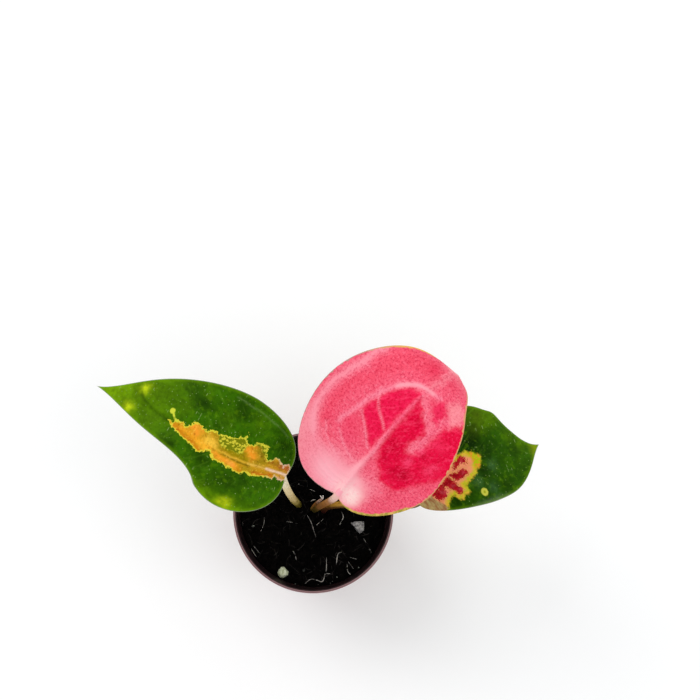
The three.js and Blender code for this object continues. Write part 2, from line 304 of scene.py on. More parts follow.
def store(piece, name, values):
    """Keeps a number or a vector at each point of a piece, for its material to read."""
    values = np.asarray(values, np.float32)
    kind, field = ("FLOAT", "value") if values.ndim == 1 else ("FLOAT_VECTOR", "vector")
    attribute = piece.data.attributes.new(name, kind, "POINT")
    attribute.data.foreach_set(field, values.ravel())


# ---------------------------------------------------------------- materials


class Shader:
    """The nodes of one material. Its methods take sockets or plain values, and colours as 0xRRGGBB too, and
    return sockets. Noise and cells lie on "where": a blade's flat places or else the part's frame, in mm."""

    def __init__(self, name, shine, flat=False):
        self.material = bpy.data.materials.new(name)
        self.material.use_nodes = True
        self.nodes = self.material.node_tree.nodes
        self.links = self.material.node_tree.links
        self.surface = self.nodes["Principled BSDF"]
        self.surface.inputs["Specular IOR Level"].default_value = shine
        self.where = self.vector("flat") if flat else self.place()

    def put(self, value, socket):
        """Links a socket to another, or gives it a plain value or a colour."""
        if isinstance(value, bpy.types.NodeSocket):
            self.links.new(value, socket)
        elif socket.type == "RGBA":
            socket.default_value = (*(colour(value) if isinstance(value, int) else value), 1)
        else:
            socket.default_value = value

    def node(self, kind, inputs, output=0, **settings):
        made = self.nodes.new("ShaderNode" + kind)
        for name, value in settings.items():
            setattr(made, name, value)
        for name, value in inputs.items():
            self.put(value, made.inputs[name])
        return made.outputs[output]

    def value(self, name):
        """A number kept at the points of the mesh."""
        return self.node("Attribute", {}, "Fac", attribute_name=name)

    def vector(self, name):
        """A vector kept at the points of the mesh."""
        return self.node("Attribute", {}, "Vector", attribute_name=name)

    def place(self):
        """The place in the part's frame, in mm."""
        spot = self.node("TexCoord", {}, "Object")
        return self.node("VectorMath", {0: spot, "Scale": 1 / MM}, operation="SCALE")

    def mapped(self, where, turn, scale, kind="POINT"):
        """The places scaled and then turned about z. The kind TEXTURE does the reverse of that."""
        inputs = {"Vector": where, "Rotation": (0, 0, turn), "Scale": scale}
        return self.node("Mapping", inputs, vector_type=kind)

    def part(self, vector, axis):
        return self.node("SeparateXYZ", {0: vector}, axis)

    def math(self, operation, a, b=0.0, c=0.0):
        return self.node("Math", {0: a, 1: b, 2: c}, operation=operation)

    def times(self, product, *factors):
        """The product of all of them."""
        for factor in factors:
            product = self.math("MULTIPLY", product, factor)
        return product

    def step(self, value, low, high):
        """0 where the value is at low and 1 where it is at high, with a smooth step between."""
        if high < low:
            return self.math("SUBTRACT", 1.0, self.step(value, high, low))
        return self.node("MapRange", {"Value": value, "From Min": low, "From Max": high},
                         interpolation_type="SMOOTHSTEP")

    def between(self, share, low, high):
        """A number that goes from low to high as the share goes from 0 to 1."""
        return self.node("MapRange", {"Value": share, "To Min": low, "To Max": high})

    def noise(self, size, detail=3, roughness=0.5, where=None):
        """Noise from 0 to 1 with grains of that size in mm."""
        where = self.where if where is None else where
        inputs = {"Vector": where, "Scale": 1 / size, "Detail": detail, "Roughness": roughness}
        return self.node("TexNoise", inputs, "Fac")

    def clouds(self, size, low, high, detail=3, roughness=0.5, where=None):
        """Noise that is 0 where it is under low and 1 where it is over high."""
        return self.step(self.noise(size, detail, roughness, where), low, high)

    def shaken(self, value, amount, size, detail=3, roughness=0.5):
        """The value with noise of that size added, up to half the amount either way."""
        swing = self.times(self.math("SUBTRACT", self.noise(size, detail, roughness), 0.5), amount)
        return self.math("ADD", value, swing)

    def cells(self, size, where=None, output="Distance"):
        """How far the nearest of some scattered points is, as a share of their spacing, or its colour."""
        where = self.where if where is None else where
        return self.node("TexVoronoi", {"Vector": where, "Scale": 1 / size}, output)

    def mix(self, share, a, b, strength=1, blend="MIX"):
        """Colour a, and b as far as share times strength. The colours are the node's sockets 6, 7 and 2."""
        share = share if strength == 1 else self.times(share, strength)
        return self.node("Mix", {0: share, 6: a, 7: b}, 2, data_type="RGBA", blend_type=blend)

    def tinted(self, share, picture, tint, strength=1):
        """The colour times a tint or a grey, as far as share times strength."""
        tint = tint if isinstance(tint, tuple) else (tint,) * 3
        return self.mix(share, picture, tint, strength, "MULTIPLY")

    def bump(self, height, depth):
        """A normal for a height from 0 to 1 that is depth mm high."""
        return self.node("Bump", {"Height": height, "Distance": depth * MM, "Strength": 1.0}, "Normal")

    def finish(self, picture, roughness, normal):
        """The material, with its surface fed by these."""
        for name, value in {"Base Color": picture, "Roughness": roughness, "Normal": normal}.items():
            self.put(value, self.surface.inputs[name])
        return self.material


# ---------------------------------------------------------------- leaf shapes

THICKNESS = 0.45
LEAF_SHINE = 0.02
LEAF_GRAIN = 0.03  # height of the blade's fine relief
LEAF_ROWS = 240  # from the stalk to the tip
LEAF_COLUMNS = 56  # in each half
MARGIN_STARTS = 0.985  # of the half's width, where the blade thins to its rounded edge
MARGIN_STEPS = (0, 0.5, 0.85, 1)  # of the way from there to the edge
MARGIN_POINTS = 90  # in each half's outline
UNDER_FACE = 40  # flat z of the under face, which keeps its noise apart from the upper face's
OUTSIDE = -9  # the least depth that is kept for a place outside an outline
MIDRIB_SAMPLES = 400

# The lateral vein that starts s mm along the midrib passes, y mm across, through
# x = s * (1 + VEIN_FAN * y) - VEIN_BACK * y + VEIN_BEND * y**2, all for a midrib of 73 mm.
VEIN_MIDRIB = 73
VEIN_FAN = 0.055
VEIN_BACK = 0.86
VEIN_BEND = 0.035
VEIN_FIRST = 12  # mm along where the vein numbered 0 starts
VEIN_GROWTH = 1.33  # each next vein starts this many times further along

# On one face the midrib and the veins stand out, and on the other the midrib is a groove between two low
# ridges, and the veins are sunk.
RIB_HEIGHT = 0.12  # at the tip
RIB_HEIGHT_GAIN = 0.7  # more at the stalk
RIB_WIDTH = 0.5  # half of it, at the tip
RIB_WIDTH_GAIN = 0.5
GROOVE_DEPTH = 0.25
GROOVE_WIDTH = 0.8
RIDGE_HEIGHT = 0.08
RIDGE_AT = 1.5  # mm from the middle of the groove
VEIN_HEIGHT = 0.06
VEIN_DEPTH = 0.04
VEIN_WIDTH = 0.4


class Leaf:
    """One leaf's shape, as in the part, with its veins."""

    def __init__(self, sizes):
        self.sizes = sizes
        self.midrib = sizes["midrib"]
        self.u = np.linspace(0, 1, MIDRIB_SAMPLES + 1)
        self.travelled = travelled(bezier(self.midrib, self.u))
        self.length = self.travelled[-1]
        chord = np.subtract(self.midrib[3], self.midrib[0])
        self.right = unit(np.array([chord[1], -chord[0], 0.0]))

    def frame(self, x):
        """At x mm along: the place, the directions along, across and up, and the share of the length."""
        x = np.asarray(x, float)
        share = np.clip(x / self.length, 0, 1)
        u = np.interp(share * self.length, self.travelled, self.u)
        along = unit(bezier_slope(self.midrib, u))
        at = bezier(self.midrib, u) + along * np.minimum(x, 0)[..., None]
        across = unit(self.right - (along @ self.right)[..., None] * along)
        up = np.cross(across, along)
        base, middle, tip = self.sizes["roll"]
        roll = base * (1 - share) * (1 - 2 * share) + middle * 4 * share * (1 - share)
        roll = np.radians(roll + tip * share * (2 * share - 1))[..., None]
        rolled = across * np.cos(roll) + up * np.sin(roll)
        return at, along, rolled, up * np.cos(roll) - across * np.sin(roll), share

    def outline(self, half, t):
        """The flat outline of one half, at t from 0 at the stalk to 1 at the tip."""
        wide = half["wide"] * self.length
        reach = wide + half["lobe"] / 2
        top = half["half"]
        to_wide = ((0, 0), (-half["lobe"], half["lobe_width"]),
                   (wide - half["base_ease"] * reach, top), (wide, top))
        to_tip = ((wide, top), (wide + half["tip_ease"] * (self.length - wide), top),
                  (self.length - half["taper"], half["taper_width"]), (self.length, 0))
        base = bezier(to_wide, np.clip(2 * t, 0, 1))
        edge = np.where((t < 0.5)[..., None], base, bezier(to_tip, np.clip(2 * t - 1, 0, 1)))
        share, at, spread = half["waist"]
        edge[..., 1] *= 1 - share * bell(t - at, spread)
        return edge

    def margin(self):
        """The flat outline of the whole blade."""
        t = np.linspace(0, 1, MARGIN_POINTS)
        port = self.outline(self.sizes["port"], t[::-1]) * (1, -1)
        return np.vstack([self.outline(self.sizes["starboard"], t), port])

    def flat(self, t, s):
        """Flat x and y at t along, and s from -1 at the port margin to 1 at the starboard one."""
        port = self.outline(self.sizes["port"], t)
        starboard = self.outline(self.sizes["starboard"], t)
        edge = np.where((s < 0)[..., None], port, starboard)
        out = np.abs(s)
        return self.length * t * (1 - out) + edge[..., 0] * out, edge[..., 1] * out * np.sign(s)

    def place(self, t, s, height):
        """The point of the blade that is height mm above its middle layer."""
        x, y = self.flat(t, s)
        at, _, across, up, share = self.frame(x)
        first, last = self.sizes["fold"]
        fold = np.radians(first + (last - first) * share)
        out = np.abs(s)
        ends = np.sin(np.pi * t)
        size, count, phase = self.sizes["wave"]
        wave = size * out**3 * ends * np.sin(TURN * (count * t + phase))
        lift = np.abs(y) * np.sin(fold) - self.sizes["droop"] * ends * out**2 + wave + height
        return at + across * (y * np.cos(fold))[..., None] + up * lift[..., None]

    def vein(self, x, y):
        """The number of the lateral vein through a flat place, with a fraction between two veins."""
        scale = VEIN_MIDRIB / self.length
        x, y = x * scale, np.abs(y) * scale
        start = (x + VEIN_BACK * y - VEIN_BEND * y**2) / (1 + VEIN_FAN * y)
        return np.log(np.maximum(start, 1) / VEIN_FIRST) / math.log(VEIN_GROWTH)

    def vein_gap(self, number):
        """The distance in mm between two veins near that number."""
        return VEIN_FIRST * VEIN_GROWTH**number * math.log(VEIN_GROWTH) * self.length / VEIN_MIDRIB


def leaf_relief(leaf, x, y, out, side):
    """How far the blade's face on that side stands above the plain face: midrib, veins and quilting."""
    number = leaf.vein(x, y)
    off = np.abs(number - np.round(number))
    inland = ease(1 - out, 0.02, 0.25) * ease(np.abs(y), 0.3, 3)
    vein = bell(off * leaf.vein_gap(number), VEIN_WIDTH) * inland
    quilt = leaf.sizes["quilt"] * (4 * off * (1 - off)) * inland
    from_tip = 1 - np.clip(x / leaf.length, 0, 1)
    stout = ease(from_tip, 0, 0.8)
    if side == leaf.sizes["rib_side"]:
        rib = (RIB_HEIGHT + RIB_HEIGHT_GAIN * stout) * bell(y, RIB_WIDTH + RIB_WIDTH_GAIN * stout)
        return rib + VEIN_HEIGHT * vein - quilt
    ridges = RIDGE_HEIGHT * bell(np.abs(y) - RIDGE_AT, GROOVE_WIDTH)
    groove = ridges - GROOVE_DEPTH * stout * bell(y, GROOVE_WIDTH)
    return groove * ease(from_tip, 0, 0.15) - VEIN_DEPTH * vein + quilt


def build_leaf(side, upper, under, slot, paint_up, paint_down, fields, shares):
    """A leaf whose two faces meet in a rounded edge. At flat places, paint_up and paint_down give soft
    colours, fields the depths in outlines and shares the other numbers that the materials read."""
    leaf = Leaf(LEAVES[side])
    t = (1 - np.cos(np.pi * np.arange(1, LEAF_ROWS) / LEAF_ROWS)) / 2
    inner = np.linspace(0, MARGIN_STARTS, LEAF_COLUMNS - 3, endpoint=False)
    outs = np.concatenate([inner[1:], MARGIN_STARTS + (1 - MARGIN_STARTS) * np.array(MARGIN_STEPS)])
    t, s = np.meshgrid(t, np.concatenate([-outs[::-1], [0], outs]), indexing="ij")
    x, y = leaf.flat(t, s)
    out = np.abs(s)
    body = 1 - np.clip((out - MARGIN_STARTS) / (1 - MARGIN_STARTS), 0, 1) ** 2
    top, bottom = [
        leaf.place(t, s, face * (THICKNESS / 2 * np.sqrt(body) + leaf_relief(leaf, x, y, out, face) * body))
        for face in (1, -1)
    ]
    rings = np.concatenate([top, bottom[:, -2:0:-1]], axis=1)
    points, faces = loft(rings, *leaf.frame(np.array([0.0, leaf.length]))[0])
    piece = make_piece("leaf_" + side, points, faces, [upper, under], slot, ["leaf_" + side])

    columns, count = top.shape[1], rings.shape[1]
    on_top = np.append(np.tile(np.arange(count) < columns, len(rings)), [True, True])
    polygons = [list(polygon.vertices) for polygon in piece.data.polygons]
    beneath = [len(corners) == 3 or max(v % count for v in corners) >= columns for corners in polygons]
    piece.data.polygons.foreach_set("material_index", np.array(beneath, np.int32))

    def around(values, end=0.0):
        """Values at the flat places, in the order of the mesh's points, and one for the two end points."""
        grid = values.reshape(*x.shape, *values.shape[1:])
        ring = np.concatenate([grid, grid[:, -2:0:-1]], axis=1).reshape(-1, *values.shape[1:])
        return np.concatenate([ring, np.full((2, *values.shape[1:]), end)])

    places = np.stack([x.ravel(), y.ravel()], -1)
    number = leaf.vein(*places.T)
    flat = around(np.column_stack([places, np.zeros(len(places))]))
    flat[~on_top, 2] = UNDER_FACE
    paint = np.where(on_top[:, None], around(paint_up(places)), around(paint_down(places)))
    paint[-2:] = paint[[0, -3]]
    store(piece, "flat", flat)
    store(piece, "paint", paint)
    store(piece, "from_edge", around(depth_in(places, leaf.margin())))
    store(piece, "vein", around(number))
    store(piece, "vein_gap", around(leaf.vein_gap(number), 1))
    for name, outlines in fields.items():
        depths = [np.full(len(places), OUTSIDE)] + [depth_in(places, outline) for outline in outlines]
        store(piece, name, around(np.max(depths, axis=0), OUTSIDE))
    for name, share_at in shares.items():
        store(piece, name, around(share_at(places)))
    return leaf


# ---------------------------------------------------------------- leaf colours, painted in soft layers


def layered(places, ground, layers):
    """A colour at each flat place: the ground colour, then each layer's colour as far as its share."""
    picture = np.tile(colour(ground), (len(places), 1)) if np.isscalar(ground) else ground.copy()
    for code, share in layers:
        picture += (colour(code) - picture) * np.clip(share, 0, 1)[:, None]
    return picture


def spot(places, x, y, radius):
    """A round soft spot."""
    return bell(np.hypot(places[:, 0] - x, places[:, 1] - y), radius)


def spots(places, table):
    """Layers of soft spots, each given as colour, share, x, y and radius."""
    return [(code, share * spot(places, x, y, radius)) for code, share, x, y, radius in table]


def stroke(places, points, width):
    """A soft smooth line."""
    return bell(distance_to(places, soft_line(points)), width)


def patch(places, outline, soft):
    """A smooth area with a soft edge."""
    return ease(depth_in(places, soft_line(outline, closed=True)), -soft, soft)


def strokes(places, ground, lines):
    """A ground colour with soft lines on it, each given as colour, share, width and points."""
    return layered(places, ground, [(code, share * bell(distance_to(places, points), width))
                                    for code, share, width, points in lines])


def ruffled(places, size, amount):
    """The places moved about by noise, so that what is painted there gets uneven edges."""
    moves = [noise.noise_vector(Vector((x / size, y / size, 0)))[:2] for x, y in places]
    return places + amount * np.array(moves)


# The greens that more than one leaf has.
DEEP_GREEN = 0x183602
DARK_GREEN = 0x264802
GREEN = 0x386402
LIGHT_GREEN = 0x568002
LIME = 0x78A402
LIME_SPOT = 0xC8DC18
GREY_GREEN = 0x5E8A5A

# The left leaf's flame: its outline, its thin tail with a dot, and the areas that have a green net.
FLAME_LEFT = (
    (-0.6, 4.1), (0.1, 4.8), (1.3, 4.7), (2.1, 3.8), (3.5, 4.6), (4.6, 5.7), (5.6, 5.8), (6.9, 4.5),
    (8.1, 4), (8.9, 4.5), (9.4, 6.4), (9.7, 8.2), (11, 8.5), (13.3, 8.4), (14.6, 8.6), (14.5, 7.3),
    (15.2, 6.5), (17.3, 6.4), (18, 7.4), (18, 8.8), (18.8, 9.7), (18.9, 8.3), (20.6, 7.1), (22.5, 6.1),
    (24.8, 5.8), (25.9, 5.5), (27.1, 5), (28.4, 5.4), (29.7, 5.3), (31.2, 4.5), (31.5, 3.7), (32.6, 4.1),
    (34.8, 4.7), (36.8, 4.7), (37, 3.6), (38.1, 2.2), (38.9, 1.5), (40.3, 2.3), (42.4, 1.8), (43.4, 0.8),
    (45.6, 0.4), (44.6, -0.5), (43.2, -1.1), (39.6, -1.9), (36.4, -2.8), (33.8, -2.9), (32.5, -3.7),
    (31.1, -3.9), (29.6, -3.3), (28.6, -2.2), (27.7, -1.6), (26.8, -2.5), (26.2, -3.9), (21.9, -3.4),
    (20.8, -3.9), (18.8, -3.7), (17.5, -4.2), (15.7, -4.5), (14.2, -3.1), (11.6, -3.3), (8.1, -2.2),
    (4.7, -2), (3.7, -0.9), (2.2, -1.4), (1, -1.7), (-0.1, -0.9), (-0.6, 1),
)
FLAME_LEFT_TAIL = ((42.2, 1.4), (43.6, 1.9), (44.7, 2.9), (45.5, 3.6))
FLAME_LEFT_DOT = (45.6, 3.7)
FLAME_LEFT_TAIL_WIDTH = 0.35
FLAME_LEFT_DOT_RADIUS = 1
FLAME_LEFT_NET = (
    (27.3, 5), (25.8, 6), (23.9, 6.2), (20.6, 7.6), (18.8, 10), (17.2, 7.5), (16.8, 5), (17.4, 3),
    (18.4, 1.9), (21, 1.7), (25, 1.6), (26.6, 2.8),
)
FLAME_LEFT_NET_BASE = ((15, 8.8), (14.6, 7), (12.4, 7.2), (11, 5.8), (9.4, 4.4), (8.8, 6), (10.5, 9))
# Soft lines in the flame: colour, share, width and points.
FLAME_LEFT_FIRE = (
    (0xCC7A0E, 0.9, 1.1, ((42.6, -0.6), (39.6, -1), (36.8, -1.5), (34.1, -2), (31.7, -2.9))),
    (0xF0A322, 0.8, 0.8, ((40, 0.3), (37.5, 0.3), (34, -0.3), (31, -1))),
    (0xF59A2C, 0.95, 1.3, ((36.4, 3), (35, 2.3), (34.2, 1.4))),
    (0xEE9A2C, 0.8, 1, ((34.6, 4), (33, 3.4))),
    (0xAE860C, 0.9, 0.9, ((31.4, 3.4), (30.6, 2.4))),
    (0xA0800E, 0.8, 0.8, ((29.2, 4.8), (28.2, 3.9), (27.8, 3))),
    (0xFFCA44, 0.95, 1.6, ((29.6, 1.3), (27.9, 0.7), (26.6, 1.1))),
    (0xFAB52E, 0.8, 1, ((31.5, -0.6), (29.5, -1.6), (28.5, -1))),
    (0x8A7A04, 1, 1.9, ((25.4, 3.4), (23.4, 2), (20.5, 2.4), (17.5, 2.4))),
    (0x968404, 0.9, 1.2, ((25, 1.2), (20.5, 1.2), (18, 1.2), (15, 1))),
    (0x9C8212, 0.9, 2, ((12.6, 8), (12.1, 6), (10.6, 4.6), (9.4, 3), (11, 2))),
    (0xF59826, 0.95, 1.3, ((15.8, 4.6), (14.2, 3.6), (13.4, 2.9))),
    (0xD98E1C, 0.7, 0.8, ((15.3, 6), (13.8, 6.4))),
    (0x7C6C0C, 0.7, 0.8, ((12.1, 7), (10.9, 5.4), (9.9, 3.6))),
    (0xA66E1A, 0.9, 1.1, ((7, 3.6), (4.9, 3.4), (3.1, 3.2))),
    (0xB85632, 0.95, 1.3, ((2, 3.2), (0.3, 3.3))),
    (0xF29A26, 0.95, 0.9, ((25.8, -1.8), (22.8, -2), (20, -2.4), (17.7, -2.5))),
    (0xFFA446, 0.6, 0.7, ((20.6, -2.1), (19, -2.1))),
    (0xC4800C, 0.85, 0.8, ((16.5, -3.2), (15.6, -2.3))),
    (0xA88C14, 0.9, 1, ((14.6, -1.8), (12, -1.7))),
    (0xC06410, 0.95, 0.8, ((11, -2), (8.1, -1.4), (5.1, -1))),
    (0xE2A272, 0.9, 0.7, ((2.6, -1), (0.6, -0.7))),
)
# The same along the midrib. Its first line, dark olive, is painted shadow along the midrib.
FLAME_LEFT_RIB = (
    (0x6E5E04, 0.85, 0.42, ((23, -0.5), (17.6, -0.7), (13.5, -0.5))),
    (0xE2B434, 0.8, 0.35, ((25.3, 0), (19.8, -0.1), (15.6, 0.1), (12.3, 0.4))),
    (0xECC054, 0.85, 0.42, ((14, 0.2), (10, 0.6), (7, 0.8))),
    (0xFFDCC0, 1, 0.46, ((7.4, 0.8), (5.1, 0.8), (2.5, 0.9), (0, 0.8))),
)
# Soft spots, here and on the other leaves: colour, share, x, y and radius.
LEFT_SPOTS = (
    (LIGHT_GREEN, 0.6, 50, 3.6, 4), (LIGHT_GREEN, 0.5, 42.4, 6.9, 3), (LIGHT_GREEN, 0.5, 37, 14.5, 2.5),
    (LIGHT_GREEN, 0.45, 28, 11.4, 3), (LIGHT_GREEN, 0.5, 15.8, 14, 3),
    (LIGHT_GREEN, 0.3, 17.2, 18.8, 2.5), (GREEN, 0.6, 8.9, -6.3, 2.5), (GREEN, 0.6, 14.2, -10.8, 2.5),
    (LIGHT_GREEN, 0.8, 23, -13.8, 3), (DARK_GREEN, 0.7, 25, 16.5, 4.5),
    (DEEP_GREEN, 0.5, 21.4, 15.4, 2.5), (DEEP_GREEN, 0.5, 25.6, 17.2, 2), (DARK_GREEN, 0.8, 38, 11.3, 3),
    (DEEP_GREEN, 0.5, 37.5, 10.7, 2), (DARK_GREEN, 0.6, 45.2, 14.1, 3), (DARK_GREEN, 0.5, 41, 12.5, 2.5),
    (DARK_GREEN, 0.6, 29, 7.2, 2.5), (DEEP_GREEN, 0.75, 4, 9.6, 4.5), (DARK_GREEN, 0.8, 28.9, -4.6, 3.5),
    (DEEP_GREEN, 0.4, 28.9, -4.6, 2), (DARK_GREEN, 0.8, 40.4, -6.9, 3), (DEEP_GREEN, 0.4, 40.4, -6.9, 2),
    (DARK_GREEN, 0.8, 17.2, -6.9, 3.5), (DARK_GREEN, 0.7, 21.5, -9.9, 3), (DEEP_GREEN, 0.4, 13, -6, 2.5),
    (LIME_SPOT, 1, 58.4, 5.8, 2), (LIME_SPOT, 0.9, 61.2, -2.6, 1.8), (LIME_SPOT, 0.9, 16.6, -16, 2),
)
# Painted shade along dark creases in the green, and a painted sheen: a light line near its edge.
LEFT_CREASE_SHADE = (
    ((59.2, 3.1), (54.2, 1.2), (50.2, 0.3), (46, 0)),
    ((45.4, 12.4), (42.5, 12.4), (38.8, 12.1), (33.2, 10.9)),
)
LEFT_SHEEN = ((27.9, 19), (19, 18.4), (10.4, 16.3), (4.6, 13.9))


def left_green(places):
    slightly = ruffled(places, 2, 0.4)
    places = ruffled(ruffled(places, 6, 2), 1.5, 0.7)
    x, y = places.T
    return layered(places, 0x386A02, [
        (LIGHT_GREEN, 0.9 * ease(x, 36, 54)),
        (LIGHT_GREEN, 0.6 * ease(-y, 9, 16)),
        (LIME, 0.9 * ease(x, 56, 70)),
        (LIME, 0.7 * ease(-y, 13.5, 18)),
        *spots(places, LEFT_SPOTS),
        # Painted shade along the creases, and the painted sheen near the edge.
        *[(DEEP_GREEN, 0.45 * stroke(slightly, line, 0.7)) for line in LEFT_CREASE_SHADE],
        (0x86A45C, 0.3 * stroke(slightly, LEFT_SHEEN, 0.3)),
    ])


def left_fire(places):
    """The colours inside the flame."""
    picture = strokes(ruffled(ruffled(places, 1.6, 0.6), 0.7, 0.4), 0xCE981C, FLAME_LEFT_FIRE)
    # The first line of FLAME_LEFT_RIB is painted shadow along the midrib.
    return strokes(ruffled(places, 1.6, 0.2), picture, FLAME_LEFT_RIB)


def left_tail(places):
    """The depth in the flame's thin tail and in the dot at its end."""
    tail = FLAME_LEFT_TAIL_WIDTH - distance_to(places, soft_line(FLAME_LEFT_TAIL))
    dot = FLAME_LEFT_DOT_RADIUS - np.hypot(*(places - FLAME_LEFT_DOT).T)
    return np.maximum(tail, dot)


def left_under(places):
    x, y = places.T
    return layered(places, 0x8FA65A, (
        (0xC98F8A, 0.8 * ease(depth_in(places, FLAME_LEFT), -2.5, 1.5)),
        (0xB7C58C, 0.6 * bell(y, 1.6)),
        (0xA3B560, 0.5 * ease(x, 50, 78)),
    ))


# The pink face: crimson areas, darker and paler bands, arcs, strips and veins.
PINK_CRIMSON_PORT = (
    (46.5, -0.2), (46.2, -2), (45.5, -4), (42.8, -6.5), (39.9, -8.3), (37.4, -9.4), (34.6, -10.4),
    (31.4, -11.1), (28.7, -10.2), (26.4, -7.4), (24.6, -4.6), (22.7, -1.5), (26.6, -0.8), (31.5, -0.6),
    (38.5, -0.5), (45, -0.3),
)
PINK_CRIMSON_STARBOARD = (
    (25.6, 0.6), (22.8, 1.9), (20.2, 2.9), (17.8, 5.2), (15.1, 7.6), (15, 10), (15.2, 12.5),
    (17.2, 15.3), (22.3, 17.7), (26.2, 20.5), (31.4, 24), (38, 23), (45, 21), (51, 17.5), (49, 15.5),
    (46.1, 14.2), (42.4, 12.9), (37.9, 12.2), (33, 11.9), (29.8, 10.3), (28.6, 8.4), (31.3, 7.2),
    (34, 9.1), (37.8, 9.4), (39.9, 7.5), (41.6, 4.6), (43.3, 3.7), (47.1, 0.5), (44.6, 0.6), (39.5, 0.7),
    (34.7, 0.6), (30, 0.5),
)
PINK_CRIMSON_RIGHT = (
    (46, 5.1), (48.1, 5.3), (50.3, 6.5), (49.2, 9.1), (46.6, 10.8), (42.4, 10.3), (42.5, 8.3),
)
PINK_TOP = (
    (40, -14), (44, -18.5), (47, -17.5), (52, -14), (56.5, -9), (59, -3.5), (55, -1), (51, -3.5), (48, -9),
)
PINK_BAND = ((39, -16.1), (34.3, -18.8), (27.3, -20), (20.9, -19.9), (17, -19))
PINK_ARCH = (
    (21.2, -14.8), (23.4, -14.6), (26.8, -13.6), (32.5, -12), (36.1, -11), (39.6, -9.6), (43.2, -7.6),
    (46, -5.2), (47.4, -3.4), (48.6, -0.9), (49.3, 2.2), (50.1, 4.9),
)
PINK_OUTER_ARC = (
    (11, -20.2), (15.5, -22.8), (20.8, -24.6), (25.5, -24.6), (31.7, -24), (37.1, -22.2), (41.9, -20.6),
    (45.8, -20.2), (48.5, -18.8),
)
PINK_STRIPS = (
    ((47.3, 0), (46.1, 1.7), (44.3, 3.8), (42.5, 6.2), (40.7, 9), (37.6, 10.5), (33.8, 9.8), (31.1, 9.3)),
    ((49.6, 13.2), (46, 11.2), (42, 10.7), (38.7, 10.7), (33.8, 9.8)),
)
PINK_LIGHT_RIGHT = ((49.2, 9.1), (52.8, 8.8), (56.1, 9.8), (54.9, 14.2), (48.9, 15.2), (46, 13.3))
PINK_VEINS = (
    ((39.4, -11.1), (36.4, -9.4), (33.7, -6.6), (31.7, -4.1), (30.1, -1.8)),
    ((29.6, -11.1), (27.1, -8.1), (24.1, -4.8), (21.7, -1.6)),
    ((19.4, -13.2), (16.8, -10.1), (15.4, -6.8), (14.2, -3.4)),
    ((17.7, -18.3), (14, -15.3), (12.4, -11.4), (10.7, -7)),
    ((20, -25), (14.7, -22.2), (9.7, -18.3), (7.4, -13.8), (5.5, -10.1)),
)
PINK_SPOTS = (
    (0xE43050, 0.7, 55, -3.5, 2.4), (0xEE4460, 0.55, 57.4, 4.2, 2.6), (0xEC3E5C, 0.5, 49.2, 6.3, 1.6),
    (0xF04A66, 0.6, 13.5, 13.2, 3.2), (0xF25470, 0.6, 7, 12.5, 3), (0xF04A66, 0.5, 23, 21.4, 2.6),
    (0xF0486A, 0.6, 19.5, -9, 4), (0xEE3A5E, 0.5, 24.5, -11.8, 3), (0xEE4664, 0.5, 20, -18.3, 2.6),
)
PINK_DEEP_SPOTS = (
    (0xD80034, 0.85, 39.1, 4.7, 2.4), (0xD20030, 0.85, 27.5, 4.4, 3), (0xCC002E, 0.7, 22.6, 4.5, 1.6),
    (0xC00028, 0.9, 22.1, 11.9, 2.4), (0xCA002E, 0.7, 20.4, 8.7, 1.6), (0xC6002A, 0.7, 31.2, 13.2, 1.2),
    (0xFA5078, 0.7, 32.7, 11.6, 1.6), (0xFA4A74, 0.7, 26.6, 10.9, 1.3),
    (0xFA5078, 0.55, 28.4, 17.4, 1.6), (0xFA5078, 0.5, 30.7, 18.4, 1.4), (0xF63A64, 0.5, 38, 15, 2.2),
)
PINK_BEAM = ((0, 0.3), (3.5, 0), (9.7, -0.6), (14.1, -0.6), (20, -0.1), (24, 0.4))
PINK_TIP_STREAK = ((64.9, -1.3), (55.5, 0.9), (50.9, 0.3))
PINK_LIP = ((-3, 1.5), (2, 12), (8, 16.5), (13, 19.5), (14, 27), (5, 24), (-8, 10))
PINK_BASE_SPOTS = (
    (0xFCA9B4, 0.7, 7, -3, 4), (0xFDB8C2, 0.8, 2.2, -3.6, 3.5), (0xFFE0DA, 0.97, 4.5, 3.1, 3.7),
    (0xFDC3C4, 0.8, 3, 0, 3), (0xFFDAD4, 0.85, 1.6, 4.4, 2.6), (0xFBB4BB, 0.7, 8.5, 2, 3),
)


